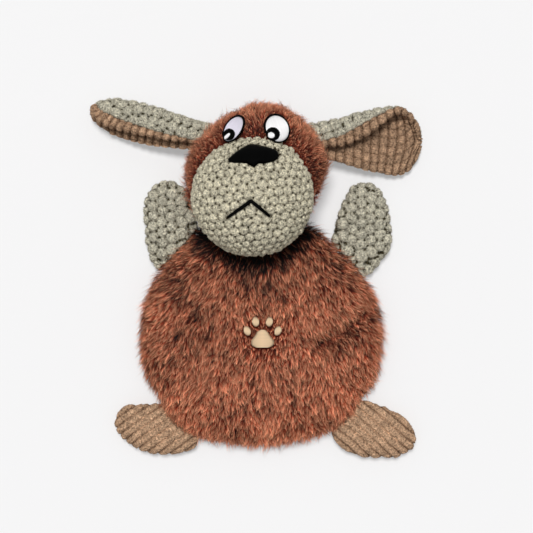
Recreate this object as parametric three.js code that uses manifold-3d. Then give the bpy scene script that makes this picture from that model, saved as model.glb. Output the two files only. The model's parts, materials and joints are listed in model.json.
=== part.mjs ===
// Squeaky plush dog toy, lying on its back with its face up.
// Millimetres. +Z points up out of the belly, +Y runs from the belly to the head, +X is the viewer's right.
// The origin is the middle of the flat that the back panel rests on.

import * as THREE from 'three'
import { mergeVertices } from 'three/addons/utils/BufferGeometryUtils.js'
import Module from 'manifold-3d'

const wasm = await Module()
wasm.setup()

// Cloth and fit
const seamGap = 0.3
const furCloth = 4
const bobbleCloth = 4
const cordCloth = 3
const pressedFlat = 0.5

// Body: a round pillow of long fur
const bodyWidth = 176
const bodyLength = 158
const bodySeamHeight = 9
const bodyCrown = 21
const bodyCornerPower = 2.15
const bodyPuffPower = 2.5

// Folds pressed into the front of the body
const foldShortDepth = 2.4
const foldLongDepth = 4.2
const foldWidth = 5
const dentWidth = 8
const foldFadeReach = 14

// Head: a ball of the same fur, a little flattened by its own weight
const headWidth = 101
const headLength = 101
const headSeamHeight = 32
const headCrown = 31
const headPuffPower = 2.15
const headOffsetX = -3.4
const neckOverlap = 15
const neckHingeSink = 2.5
const neckHingeRise = 5

// Muzzle: a soft ball of bobble cloth sewn on the crown of the head
const muzzleWidth = 83
const muzzleLength = 81
const muzzleSeamHeight = 44
const muzzleCrown = 33
const muzzleBelly = 24
const muzzlePuffPower = 2.2
const muzzleOffsetX = -3.3
const muzzleOffsetY = -16

// Face
const noseWidth = 34
const noseHeight = 16
const noseThickness = 1.4
const noseOffsetX = 1.2
const noseOffsetY = 27
const leftEyeWidth = 12.6
const leftEyeLength = 21.4
const leftEyeLeanDegrees = -34
const rightEyeWidth = 16.4
const rightEyeLength = 20.4
const rightEyeLeanDegrees = 20
const eyeWhiteThickness = 1.2
const pupilDiameter = 9.2
const pupilThickness = 1
const eyeSpacing = 30
const eyeOffsetX = -1
const eyeOffsetY = 30.8
const pupilShiftX = -2.9
const pupilShiftY = -4.2
const padRimShare = 0.6
const padRimPower = 3

// Ears: two layers of cloth, folded along their length
const leftEarLength = 91
const rightEarLength = 84
const earWidth = 57
const earRootWidth = 39
const earFoldRadius = 5.5
const earRootSink = 6
const earRootHeight = 16
const earWideFromShare = 0.42
const earRoundFromShare = 0.7
const earTipWidthShare = 0.3
const earStationPower = 0.85
const earLeastLeaf = 3

// Arms and legs: flat pads that taper to their seams
const armLength = 72
const armWidth = 44
const legLength = 63
const legWidth = 41
const limbSeamHeight = 7
const limbCrown = 7
const limbCornerPower = 2.25
const limbPuffPower = 2.3
const limbTaperReach = 22
const limbRootShare = 0.5

// Where each limb is sewn round the body, how far out and toward the head its middle lies,
// and how far its long axis is turned from straight out
const leftArmSeamDegrees = 137
const leftArmReach = 14
const leftArmSlide = 14.6
const leftArmSpinDegrees = -38
const rightArmSeamDegrees = 43
const rightArmReach = 18.4
const rightArmSlide = 9.9
const rightArmSpinDegrees = 37
const leftLegSeamDegrees = 225
const leftLegReach = 13.3
const leftLegSlide = 3.9
const leftLegSpinDegrees = -60
const rightLegSeamDegrees = 315
const rightLegReach = 17.9
const rightLegSlide = 5.8
const rightLegSpinDegrees = 28

// Squeaker: two discs, a bellows between them and a reed whistle
const squeakerDiameter = 46
const squeakerHeight = 15
const squeakerBottom = 6
const squeakerOffsetY = 6
const squeakerDiscThickness = 1.5
const squeakerRimHeight = 4
const squeakerWall = 1.2
const bellowsPleatDepth = 3.2
const bellowsPleats = 3
const whistleDiameter = 6
const whistleBore = 3.6
const whistleFlange = 9
const whistleFlangeThickness = 1
const reedThickness = 0.4
const squeakTravel = 5

// How finely the forms are faceted
const bodySteps = 40
const foldSteps = 3
const bodyFrontRings = 9
const headSteps = 32
const limbSteps = 22
const bodyRings = 5
const headRings = 6
const limbRings = 3
const padSteps = 16
const padRings = 4
const latheSteps = 24
const earStations = 9
const earCrossPoints = 9

// How far each sewn part turns about its seam, in degrees
const nodForward = 15
const nodBack = -35
const limbUp = { left_arm: 25, right_arm: 60, left_leg: 60, right_leg: 60 }
const limbDown = -25
const earUp = 45
const earDown = -30

// Colours
const furColour = 0x96523e
const bobbleColour = 0x9e9b84
const muzzleColour = 0xb2ac91
const cordColour = 0x9b7d5f
const waddingColour = 0xf1efe9
const nylonColour = 0xe8e4d8
const brassColour = 0xb9975a
const blackThread = 0x141213
const whiteThread = 0xeceaf2

const radians = (degrees) => THREE.MathUtils.degToRad(degrees)
const mix = THREE.MathUtils.lerp
const ease = (share) => THREE.MathUtils.smoothstep(share, 0, 1)

function cloth(colour) {
  return new THREE.MeshStandardMaterial({ color: colour, roughness: 0.95, metalness: 0 })
}

// Solids

function solidFrom(points, faces) {
  const vertProperties = new Float32Array(points.flat())
  const triVerts = new Uint32Array(faces.flat())
  return new wasm.Manifold(new wasm.Mesh({ numProp: 3, vertProperties, triVerts }))
}

function solidFromGeometry(geometry) {
  geometry.deleteAttribute('normal')
  geometry.deleteAttribute('uv')
  const merged = mergeVertices(geometry)
  const vertProperties = new Float32Array(merged.attributes.position.array)
  const triVerts = new Uint32Array(merged.index.array)
  return new wasm.Manifold(new wasm.Mesh({ numProp: 3, vertProperties, triVerts }))
}

function geometryFrom(solid) {
  const mesh = solid.getMesh()
  const geometry = new THREE.BufferGeometry()
  geometry.setAttribute('position', new THREE.BufferAttribute(new Float32Array(mesh.vertProperties), 3))
  geometry.setIndex(new THREE.BufferAttribute(new Uint32Array(mesh.triVerts), 1))
  geometry.computeVertexNormals()
  return geometry
}

function largestPiece(solid) {
  const pieces = solid.decompose()
  return pieces.reduce((best, piece) => (piece.volume() > best.volume() ? piece : best))
}

function cutAll(solid, cutters) {
  return largestPiece(cutters.reduce((rest, cutter) => rest.subtract(cutter), solid))
}

// Copies of a cutter as a hinged piece would meet it at each of the given turns
function sweptCutters(cutter, hinge, turns) {
  return turns.map((degrees) => {
    const matrix = new THREE.Matrix4()
      .makeTranslation(hinge.at[0], hinge.at[1], hinge.at[2])
      .multiply(new THREE.Matrix4().makeRotationAxis(new THREE.Vector3(...hinge.axis), radians(-degrees)))
      .multiply(new THREE.Matrix4().makeTranslation(-hinge.at[0], -hinge.at[1], -hinge.at[2]))
    return cutter.transform(matrix.elements)
  })
}

// Stuffed forms: an outline in plan that swells up and down from its seam

function inPlan(form, across, along) {
  const turn = radians(form.turn)
  return [
    form.centre[0] + across * Math.cos(turn) - along * Math.sin(turn),
    form.centre[1] + across * Math.sin(turn) + along * Math.cos(turn),
  ]
}

function outlinePoint(form, inset, step) {
  const angle = form.angles[step]
  const power = 2 / form.cornerPower
  const bend = (value) => Math.sign(value) * Math.abs(value) ** power
  return [
    bend(Math.cos(angle)) * (form.width / 2 - inset),
    bend(Math.sin(angle)) * (form.length / 2 - inset),
  ]
}

// Rings of one side of a form, from its seam to its middle, then the middle point
function swellSide(form, inset, side, lift) {
  const rise = (side > 0 ? form.crown : form.belly) - inset
  const floor = form.floor + inset
  const restHeight = form.seamHeight - floor
  const touches = side < 0 && rise > restHeight
  const lastAngle = touches ? Math.asin((restHeight / rise) ** (form.puffPower / 2)) : Math.PI / 2
  const ringCount = side > 0 ? form.frontRings : form.rings
  const spacing = touches ? ringCount - 1 : ringCount
  const heightAt = (angle, spot) => {
    const puff = Math.sin(angle) ** (2 / form.puffPower)
    const height = (lift + (rise - lift) * puff) * form.thicknessAt(spot) - form.foldAt(spot, side)
    const z = form.seamHeight + side * Math.max(height, lift)
    return touches ? Math.max(z, floor) : z
  }
  const rings = []
  for (let ring = 0; ring < ringCount; ring += 1) {
    const angle = (ring / spacing) * lastAngle
    const share = Math.cos(angle) ** (2 / form.puffPower)
    const points = []
    for (let step = 0; step < form.angles.length; step += 1) {
      const [across, along] = outlinePoint(form, inset, step)
      const spot = inPlan(form, across * share, along * share)
      points.push([...spot, heightAt(angle, spot)])
    }
    rings.push(points)
  }
  const middle = [...form.centre, heightAt(Math.PI / 2, form.centre)]
  return { rings, middle }
}

function addRings(points, rings) {
  return rings.map((ring) => ring.map((point) => points.push(point) - 1))
}

function addBand(faces, outer, inner, flip) {
  outer.forEach((corner, step) => {
    const next = (step + 1) % outer.length
    const pair = [
      [corner, outer[next], inner[next]],
      [corner, inner[next], inner[step]],
    ]
    pair.forEach((face) => faces.push(flip ? [...face].reverse() : face))
  })
}

function addFan(faces, ring, middle, flip) {
  ring.forEach((corner, step) => {
    const face = [corner, ring[(step + 1) % ring.length], middle]
    faces.push(flip ? face.reverse() : face)
  })
}

function addSide(points, faces, side, flip) {
  const rings = addRings(points, side.rings)
  const middle = points.push(side.middle) - 1
  for (let ring = 1; ring < rings.length; ring += 1) {
    addBand(faces, rings[ring - 1], rings[ring], flip)
  }
  addFan(faces, rings.at(-1), middle, flip)
  return rings[0]
}

// A whole form, closed at its seam
function wholeForm(form, inset) {
  const points = []
  const faces = []
  const top = addSide(points, faces, swellSide(form, inset, 1, 0), false)
  const bottom = swellSide(form, inset, -1, 0)
  const lowerRings = [top, ...addRings(points, bottom.rings.slice(1))]
  const middle = points.push(bottom.middle) - 1
  for (let ring = 1; ring < lowerRings.length; ring += 1) {
    addBand(faces, lowerRings[ring - 1], lowerRings[ring], true)
  }
  addFan(faces, lowerRings.at(-1), middle, true)
  return solidFrom(points, faces)
}

// One cloth panel of a form: the skin of its upper or lower side, open at the seam
function panel(form, side, thickness) {
  const points = []
  const faces = []
  const lift = seamGap / 2
  const outside = addSide(points, faces, swellSide(form, 0, side, lift), side < 0)
  const inside = addSide(points, faces, swellSide(form, thickness, side, lift), side > 0)
  addBand(faces, outside, inside, side > 0)
  return solidFrom(points, faces)
}

// One half of a form's filling, flat at the seam
function halfFilling(form, side, inset) {
  const points = []
  const faces = []
  const rim = addSide(points, faces, swellSide(form, inset, side, seamGap / 2), side < 0)
  const level = form.seamHeight + side * (seamGap / 2)
  const middle = points.push([...form.centre, level]) - 1
  addFan(faces, rim, middle, side > 0)
  return solidFrom(points, faces)
}

function surfaceHeight(form, spot) {
  const turn = radians(form.turn)
  const dx = spot[0] - form.centre[0]
  const dy = spot[1] - form.centre[1]
  const across = Math.abs(dx * Math.cos(turn) + dy * Math.sin(turn)) / (form.width / 2)
  const along = Math.abs(dy * Math.cos(turn) - dx * Math.sin(turn)) / (form.length / 2)
  const share = (across ** form.cornerPower + along ** form.cornerPower) ** (1 / form.cornerPower)
  const puff = Math.max(0, 1 - share ** form.puffPower) ** (1 / form.puffPower)
  return form.seamHeight + form.crown * puff
}

// A stitched pad that follows the top of a form. outline gives its corners around its middle.
function padOn(form, middle, outline, lift, thickness) {
  const points = []
  const faces = []
  const layer = (height) => {
    const at = (corner, share) => {
      const spot = [mix(middle[0], corner[0], share), mix(middle[1], corner[1], share)]
      return [...spot, surfaceHeight(form, spot) + height(share)]
    }
    const rings = []
    for (let ring = 0; ring < padRings; ring += 1) {
      rings.push(outline.map((corner) => at(corner, 1 - ring / padRings)))
    }
    return { rings, middle: at(middle, 0) }
  }
  const puffed = (share) => lift + thickness * mix(1, padRimShare, share ** padRimPower)
  const top = addSide(points, faces, layer(puffed), false)
  const bottom = addSide(points, faces, layer(() => lift), true)
  addBand(faces, top, bottom, true)
  return solidFrom(points, faces)
}

const evenly = () => 1
const unfolded = () => 0

// Angles round a form in equal steps, with more of them between each pair of folded degrees
function outlineAngles(steps, folded) {
  const angles = []
  for (let step = 0; step < steps; step += 1) {
    const start = (step / steps) * 360
    const middle = start + 180 / steps
    const parts = folded.some(([from, to]) => middle > from && middle < to) ? foldSteps : 1
    for (let part = 0; part < parts; part += 1) {
      angles.push(radians(start + (part / parts) * (360 / steps)))
    }
  }
  return angles
}

// Where the folds in the body start and end, as shares of its half width and half length
const bodyFolds = [
  { startShares: [0.48, -0.05], endShares: [0.89, 0.25], depth: foldLongDepth, width: foldWidth },
  { startShares: [-0.59, 0.27], endShares: [-0.41, 0.03], depth: foldShortDepth, width: foldWidth },
  { startShares: [-0.11, 0.46], endShares: [0.09, 0.34], depth: foldShortDepth, width: dentWidth },
  { startShares: [0.2, -0.9], endShares: [0.23, -0.76], depth: foldShortDepth, width: foldWidth },
]
const foldedDegrees = [[0, 18], [153, 180], [351, 360]]

function bodyFoldAt([x, y], side) {
  if (side < 0) return 0
  const spot = new THREE.Vector2(x, y)
  const half = new THREE.Vector2(bodyWidth / 2, bodyLength / 2)
  const toRim = (1 - spot.clone().divide(half).length()) * half.y
  const fade = ease(toRim / foldFadeReach)
  return fade * bodyFolds.reduce((sum, fold) => {
    const start = new THREE.Vector2(...fold.startShares).multiply(half)
    const run = new THREE.Vector2(...fold.endShares).multiply(half).sub(start)
    const share = THREE.MathUtils.clamp(spot.clone().sub(start).dot(run) / run.lengthSq(), 0, 1)
    const away = spot.distanceTo(start.addScaledVector(run, share)) / fold.width
    return sum + fold.depth * Math.exp(-away * away)
  }, 0)
}

const body = {
  centre: [0, 0],
  turn: 0,
  width: bodyWidth,
  length: bodyLength,
  seamHeight: bodySeamHeight,
  crown: bodyCrown,
  belly: bodySeamHeight + pressedFlat,
  floor: 0,
  cornerPower: bodyCornerPower,
  puffPower: bodyPuffPower,
  angles: outlineAngles(bodySteps, foldedDegrees),
  rings: bodyRings,
  frontRings: bodyFrontRings,
  thicknessAt: evenly,
  foldAt: bodyFoldAt,
}

const head = {
  ...body,
  centre: [headOffsetX, bodyLength / 2 + headLength / 2 - neckOverlap],
  width: headWidth,
  length: headLength,
  seamHeight: headSeamHeight,
  crown: headCrown,
  belly: headSeamHeight + pressedFlat,
  cornerPower: 2,
  puffPower: headPuffPower,
  angles: outlineAngles(headSteps, []),
  rings: headRings,
  frontRings: headRings,
  foldAt: unfolded,
}

const muzzle = {
  ...head,
  centre: [head.centre[0] + muzzleOffsetX, head.centre[1] + muzzleOffsetY],
  width: muzzleWidth,
  length: muzzleLength,
  seamHeight: muzzleSeamHeight,
  crown: muzzleCrown,
  belly: muzzleBelly,
  puffPower: muzzlePuffPower,
  rings: headRings - 1,
  frontRings: headRings - 1,
}

// Where the seam round a form lies in plan, its outward direction and its run
function rimSpot(form, degrees) {
  const power = 2 / form.cornerPower
  const c = Math.cos(radians(degrees))
  const s = Math.sin(radians(degrees))
  const across = Math.sign(c) * Math.abs(c) ** power
  const along = Math.sign(s) * Math.abs(s) ** power
  const slopeX = (Math.sign(c) * Math.abs(across) ** (form.cornerPower - 1)) / form.width
  const slopeY = (Math.sign(s) * Math.abs(along) ** (form.cornerPower - 1)) / form.length
  const size = Math.hypot(slopeX, slopeY)
  return {
    at: [form.centre[0] + (across * form.width) / 2, form.centre[1] + (along * form.length) / 2],
    out: [slopeX / size, slopeY / size],
  }
}

// A limb hangs on the body's seam. Its middle lies reach out from the seam and slide along it
// toward the head, and its long axis is turned by spin from straight out.
function limbForm(length, width, seamDegrees, reach, slide, spin) {
  const rim = rimSpot(body, seamDegrees)
  const [outX, outY] = rim.out
  const headward = [Math.sign(outX) * -outY, Math.sign(outX) * outX]
  const centre = [
    rim.at[0] + outX * reach + headward[0] * slide,
    rim.at[1] + outY * reach + headward[1] * slide,
  ]
  const outDegrees = THREE.MathUtils.radToDeg(Math.atan2(outY, outX))
  return {
    ...body,
    centre,
    turn: outDegrees + spin - 90,
    width,
    length,
    seamHeight: limbSeamHeight,
    crown: limbCrown,
    belly: limbSeamHeight + pressedFlat,
    cornerPower: limbCornerPower,
    puffPower: limbPuffPower,
    angles: outlineAngles(limbSteps, []),
    rings: limbRings,
    frontRings: limbRings,
    foldAt: unfolded,
    thicknessAt: (spot) => {
      const away = (spot[0] - rim.at[0]) * outX + (spot[1] - rim.at[1]) * outY
      return mix(limbRootShare, 1, ease(away / limbTaperReach))
    },
    hinge: { at: [...rim.at, body.seamHeight], axis: [outY, -outX, 0] },
  }
}

const limbs = {
  left_arm: limbForm(
    armLength, armWidth, leftArmSeamDegrees, leftArmReach, leftArmSlide, leftArmSpinDegrees,
  ),
  right_arm: limbForm(
    armLength, armWidth, rightArmSeamDegrees, rightArmReach, rightArmSlide, rightArmSpinDegrees,
  ),
  left_leg: limbForm(
    legLength, legWidth, leftLegSeamDegrees, leftLegReach, leftLegSlide, leftLegSpinDegrees,
  ),
  right_leg: limbForm(
    legLength, legWidth, rightLegSeamDegrees, rightLegReach, rightLegSlide, rightLegSpinDegrees,
  ),
}

const neckHinge = {
  at: [head.centre[0], body.length / 2 - neckHingeSink, body.seamHeight + neckHingeRise],
  axis: [1, 0, 0],
}

const toy = new THREE.Group()

function addPiece(name, solid, colour) {
  const mesh = new THREE.Mesh(geometryFrom(solid), cloth(colour))
  mesh.name = name
  toy.add(mesh)
}

const bodyCutter = wholeForm(body, -seamGap)
const headCutter = wholeForm(head, -seamGap)
const muzzleCutter = wholeForm(muzzle, -seamGap)

// Body

function latheSolid(profile) {
  const geometry = new THREE.LatheGeometry(profile.map(([r, z]) => new THREE.Vector2(r, z)), latheSteps)
  geometry.rotateX(Math.PI / 2)
  geometry.translate(0, squeakerOffsetY, 0)
  return solidFromGeometry(geometry)
}

const squeakerRadius = squeakerDiameter / 2
const squeakerTop = squeakerBottom + squeakerHeight

// The top disc stops just above the whistle when it is pressed all the way
const whistleHeight = squeakerHeight - squeakerDiscThickness - squeakTravel - seamGap

function squeakerPocket() {
  const radius = squeakerRadius + seamGap
  return latheSolid([
    [0, squeakerBottom - seamGap],
    [radius, squeakerBottom - seamGap],
    [radius, squeakerTop + seamGap],
    [0, squeakerTop + seamGap],
  ])
}

function addBody() {
  const filling = furCloth + seamGap
  addPiece('body_front_panel', panel(body, 1, furCloth), furColour)
  addPiece('body_back_panel', panel(body, -1, furCloth), furColour)
  const pocket = squeakerPocket()
  addPiece('body_wadding_front', cutAll(halfFilling(body, 1, filling), [pocket]), waddingColour)
  addPiece('body_wadding_back', cutAll(halfFilling(body, -1, filling), [pocket]), waddingColour)
}

// Squeaker

function addSqueaker() {
  const boreRadius = whistleDiameter / 2 + seamGap
  const bossRadius = boreRadius + squeakerWall * 2
  const floorTop = squeakerBottom + squeakerDiscThickness
  const rimTop = squeakerBottom + squeakerRimHeight
  addPiece('squeaker_base', latheSolid([
    [boreRadius, squeakerBottom],
    [squeakerRadius, squeakerBottom],
    [squeakerRadius, rimTop],
    [squeakerRadius - squeakerWall, rimTop],
    [squeakerRadius - squeakerWall, floorTop],
    [bossRadius, floorTop],
    [bossRadius, rimTop],
    [boreRadius, rimTop],
    [boreRadius, squeakerBottom],
  ]), nylonColour)

  const discRadius = squeakerRadius - squeakerWall - seamGap
  const discBottom = squeakerTop - squeakerDiscThickness
  addPiece('squeaker_top_disc', latheSolid([
    [0, discBottom],
    [discRadius, discBottom],
    [discRadius, squeakerTop],
    [0, squeakerTop],
  ]), nylonColour)

  const foldBottom = floorTop + seamGap
  const foldTop = discBottom - seamGap
  const outer = []
  const inner = []
  for (let turn = 0; turn <= bellowsPleats * 2; turn += 1) {
    const z = mix(foldBottom, foldTop, turn / (bellowsPleats * 2))
    const radius = discRadius - (turn % 2) * bellowsPleatDepth
    outer.push([radius, z])
    inner.push([radius - squeakerWall, z])
  }
  addPiece('squeaker_bellows', latheSolid([...outer, ...inner.reverse(), outer[0]]), nylonColour)

  const whistleBottom = squeakerBottom
  const whistleTop = whistleBottom + whistleHeight
  const flangeBottom = rimTop + seamGap
  const flangeTop = flangeBottom + whistleFlangeThickness
  addPiece('squeaker_whistle', latheSolid([
    [whistleBore / 2, whistleBottom],
    [whistleDiameter / 2, whistleBottom],
    [whistleDiameter / 2, flangeBottom],
    [whistleFlange / 2, flangeBottom],
    [whistleFlange / 2, flangeTop],
    [whistleDiameter / 2, flangeTop],
    [whistleDiameter / 2, whistleTop],
    [whistleBore / 2, whistleTop],
    [whistleBore / 2, whistleBottom],
  ]), blackThread)

  const reedWidth = whistleBore - seamGap * 2
  const reedLength = whistleHeight - whistleFlangeThickness * 2
  const reed = new THREE.BoxGeometry(reedWidth, reedThickness, reedLength)
  reed.translate(0, squeakerOffsetY, (whistleBottom + whistleTop) / 2)
  addPiece('squeaker_reed', solidFromGeometry(reed), brassColour)
}

// Head and muzzle

function addHead() {
  const turns = [0, nodForward / 2, nodForward, nodBack / 2, nodBack]
  const cutters = sweptCutters(bodyCutter, neckHinge, turns)
  addPiece('head_front_panel', cutAll(panel(head, 1, furCloth), cutters), furColour)
  addPiece('head_back_panel', cutAll(panel(head, -1, furCloth), cutters), furColour)
  addPiece('head_wadding', cutAll(wholeForm(head, furCloth + seamGap), cutters), waddingColour)

  const hollow = wholeForm(muzzle, bobbleCloth)
  const skin = wholeForm(muzzle, 0).subtract(hollow)
  addPiece('muzzle_panel', cutAll(skin, [headCutter, ...cutters]), muzzleColour)
  const filling = wholeForm(muzzle, bobbleCloth + seamGap)
  addPiece('muzzle_wadding', cutAll(filling, [headCutter, ...cutters]), waddingColour)
}

// Face: stitched pads

// The nose's outline, as shares of its half width and half height
const noseOutlineShares = [
  [1, 0.03], [0.85, 0.52], [0.28, 0.84], [-0.11, 1], [-0.4, 0.7], [-0.65, 0.36], [-1, -0.32],
  [-0.78, -0.62], [-0.26, -0.67], [0.02, -1], [0.2, -0.69], [0.53, -0.64], [0.92, -0.3],
]

function addNose() {
  const middle = [muzzle.centre[0] + noseOffsetX, muzzle.centre[1] + noseOffsetY]
  const outline = noseOutlineShares.map(([across, along]) => [
    middle[0] + (across * noseWidth) / 2,
    middle[1] + (along * noseHeight) / 2,
  ])
  const pad = padOn(muzzle, middle, outline, seamGap * 2, noseThickness)
  addPiece('nose_patch', cutAll(pad, [headCutter]), blackThread)
}

function ovalOutline(middle, width, length, degrees) {
  const outline = []
  for (let step = 0; step < padSteps; step += 1) {
    const angle = (step / padSteps) * 2 * Math.PI
    const across = (width / 2) * Math.cos(angle)
    const along = (length / 2) * Math.sin(angle)
    outline.push(inPlan({ centre: middle, turn: degrees }, across, along))
  }
  return outline
}

function addEye(side, sign, width, length, leanDegrees) {
  const middle = [
    head.centre[0] + eyeOffsetX + (sign * eyeSpacing) / 2,
    head.centre[1] + eyeOffsetY,
  ]
  const white = ovalOutline(middle, width, length, leanDegrees)
  const whitePad = padOn(head, middle, white, seamGap, eyeWhiteThickness)
  addPiece(`${side}_eye_white`, cutAll(whitePad, [muzzleCutter]), whiteThread)
  const pupilMiddle = [middle[0] + pupilShiftX, middle[1] + pupilShiftY]
  const pupil = ovalOutline(pupilMiddle, pupilDiameter, pupilDiameter, 0)
  const lift = seamGap * 2 + eyeWhiteThickness
  const pupilPad = padOn(head, pupilMiddle, pupil, lift, pupilThickness)
  addPiece(`${side}_pupil`, cutAll(pupilPad, [muzzleCutter]), blackThread)
}

// Ears: a folded sheet of two layers, lofted from root to tip

// The tables run from root to tip: how far an ear is folded over, how much of its flat leaves is the
// lower one, and its fold's radius. turnDegrees is how far its long axis bends on the way.
const ears = {
  left: {
    seamDegrees: 143,
    headingDegrees: 170,
    turnDegrees: -8,
    length: leftEarLength,
    sideways: -1,
    foldDegrees: [180, 180, 180, 178, 175, 170, 160],
    lowerShares: [0.54, 0.54, 0.54, 0.53, 0.53, 0.52, 0.5],
    radiusShares: [1, 1, 1, 1, 1, 0.9, 0.6],
  },
  right: {
    seamDegrees: 30,
    headingDegrees: 1,
    turnDegrees: -3,
    length: rightEarLength,
    sideways: 1,
    foldDegrees: [180, 180, 174, 152, 112, 84, 66],
    lowerShares: [0.76, 0.74, 0.69, 0.73, 0.84, 0.89, 0.9],
    radiusShares: [1, 1, 1, 1.1, 1.35, 1.5, 1.2],
  },
}

function alongTable(table, share) {
  const spot = share * (table.length - 1)
  const low = Math.min(Math.floor(spot), table.length - 2)
  return mix(table[low], table[low + 1], spot - low)
}

function earWidthAt(share) {
  const past = Math.max(0, (share - earRoundFromShare) / (1 - earRoundFromShare))
  const tip = Math.max(earTipWidthShare, Math.sqrt(1 - past * past))
  return mix(earRootWidth, earWidth, ease(share / earWideFromShare)) * tip
}

// Cross-section of an ear as a line: its lower leaf, its fold and its upper leaf
function earSection(ear, share) {
  const width = earWidthAt(share)
  const fold = radians(alongTable(ear.foldDegrees, share))
  const radius = earFoldRadius * alongTable(ear.radiusShares, share)
  const leaves = width - fold * radius
  const lower = Math.max(earLeastLeaf, leaves * alongTable(ear.lowerShares, share))
  const upper = Math.max(earLeastLeaf, leaves - lower)
  const total = lower + fold * radius + upper
  const line = []
  for (let point = 0; point < earCrossPoints; point += 1) {
    line.push(sectionPoint(lower, fold, radius, (total * point) / (earCrossPoints - 1)))
  }
  const reach = line.map(([y]) => y)
  const middle = (Math.min(...reach) + Math.max(...reach)) / 2
  return line.map(([y, z]) => [y - middle, z])
}

function sectionPoint(lower, fold, radius, travelled) {
  if (travelled <= lower) return [travelled, 0]
  const turned = Math.min((travelled - lower) / radius, fold)
  const rest = travelled - lower - turned * radius
  return [
    lower + radius * Math.sin(turned) + rest * Math.cos(turned),
    radius * (1 - Math.cos(turned)) + rest * Math.sin(turned),
  ]
}

// The middle of an ear at a share of its length, along an arc that starts in its heading
function earSpine(ear, share) {
  const rim = rimSpot(head, ear.seamDegrees)
  const from = radians(ear.headingDegrees)
  const turn = radians(ear.turnDegrees)
  const arcRadius = ear.length / turn
  const heading = from + turn * share
  const start = [Math.cos(from) * earRootSink, Math.sin(from) * earRootSink]
  return {
    at: [
      rim.at[0] - start[0] + (Math.sin(heading) - Math.sin(from)) * arcRadius,
      rim.at[1] - start[1] - (Math.cos(heading) - Math.cos(from)) * arcRadius,
    ],
    across: [-ear.sideways * Math.sin(heading), ear.sideways * Math.cos(heading)],
  }
}

function earGrid(ear) {
  const restHeight = bobbleCloth + seamGap
  const grid = []
  for (let station = 0; station < earStations; station += 1) {
    const share = Math.sin((station / (earStations - 1)) * (Math.PI / 2)) ** earStationPower
    const height = mix(earRootHeight, restHeight, ease(share))
    const { at, across } = earSpine(ear, share)
    const row = earSection(ear, share).map(([y, z]) => [
      at[0] + across[0] * y,
      at[1] + across[1] * y,
      height + z,
    ])
    grid.push(row)
  }
  return grid
}

function gridNormal(grid, row, column) {
  const at = (r, c) => {
    const safeRow = THREE.MathUtils.clamp(r, 0, grid.length - 1)
    const safeColumn = THREE.MathUtils.clamp(c, 0, grid[0].length - 1)
    return new THREE.Vector3(...grid[safeRow][safeColumn])
  }
  const along = at(row + 1, column).sub(at(row - 1, column))
  const across = at(row, column + 1).sub(at(row, column - 1))
  return along.cross(across).normalize()
}

// A sheet between two offsets from a grid of points
function sheetSolid(grid, from, to, flip) {
  const points = []
  const layer = (offset) => grid.map((row, r) => row.map((spot, c) => {
    const shifted = new THREE.Vector3(...spot).addScaledVector(gridNormal(grid, r, c), offset)
    return points.push(shifted.toArray()) - 1
  }))
  const near = layer(from)
  const far = layer(to)
  const faces = []
  const quad = (a, b, c, d) => {
    const pair = [[a, b, c], [a, c, d]]
    pair.forEach((face) => faces.push(flip ? face.reverse() : face))
  }
  const lastRow = grid.length - 1
  const lastColumn = grid[0].length - 1
  for (let r = 0; r < lastRow; r += 1) {
    for (let c = 0; c < lastColumn; c += 1) {
      quad(far[r][c], far[r + 1][c], far[r + 1][c + 1], far[r][c + 1])
      quad(near[r][c], near[r][c + 1], near[r + 1][c + 1], near[r + 1][c])
    }
    quad(near[r][0], near[r + 1][0], far[r + 1][0], far[r][0])
    quad(near[r][lastColumn], far[r][lastColumn], far[r + 1][lastColumn], near[r + 1][lastColumn])
  }
  for (let c = 0; c < lastColumn; c += 1) {
    quad(near[0][c], far[0][c], far[0][c + 1], near[0][c + 1])
    quad(near[lastRow][c], near[lastRow][c + 1], far[lastRow][c + 1], far[lastRow][c])
  }
  return solidFrom(points, faces)
}

function earHinge(ear) {
  const rim = rimSpot(head, ear.seamDegrees)
  return { at: [...rim.at, head.seamHeight - earFoldRadius], axis: [rim.out[1], -rim.out[0], 0] }
}

function addEar(side) {
  const ear = ears[side]
  const grid = earGrid(ear)
  const cutters = sweptCutters(headCutter, earHinge(ear), [0, earUp / 2, earUp, earDown / 2, earDown])
  const inward = ear.sideways
  const half = seamGap / 2
  const outer = sheetSolid(grid, -inward * half, -inward * (half + bobbleCloth), ear.sideways > 0)
  const inner = sheetSolid(grid, inward * half, inward * (half + cordCloth), ear.sideways < 0)
  addPiece(`${side}_ear_back`, cutAll(outer, cutters), bobbleColour)
  addPiece(`${side}_ear_lining`, cutAll(inner, cutters), cordColour)
}

// Arms and legs

function addLimb(name, thickness, colour) {
  const form = limbs[name]
  const up = limbUp[name]
  const turns = [0, up / 3, (up * 2) / 3, up, limbDown / 3, (limbDown * 2) / 3, limbDown]
  const cutters = sweptCutters(bodyCutter, form.hinge, turns)
  addPiece(`${name}_front`, cutAll(panel(form, 1, thickness), cutters), colour)
  addPiece(`${name}_back`, cutAll(panel(form, -1, thickness), cutters), colour)
  addPiece(`${name}_wadding`, cutAll(wholeForm(form, thickness + seamGap), cutters), waddingColour)
}

addBody()
addSqueaker()
addHead()
addNose()
addEye('left', -1, leftEyeWidth, leftEyeLength, leftEyeLeanDegrees)
addEye('right', 1, rightEyeWidth, rightEyeLength, rightEyeLeanDegrees)
addEar('left')
addEar('right')
addLimb('left_arm', bobbleCloth, bobbleColour)
addLimb('right_arm', bobbleCloth, bobbleColour)
addLimb('left_leg', cordCloth, cordColour)
addLimb('right_leg', cordCloth, cordColour)

export default toy
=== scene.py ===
"""A squeaky plush dog toy: fur body and head, bobble cloth muzzle, arms and ear backs, cord cloth legs."""
import json
import math

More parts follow.
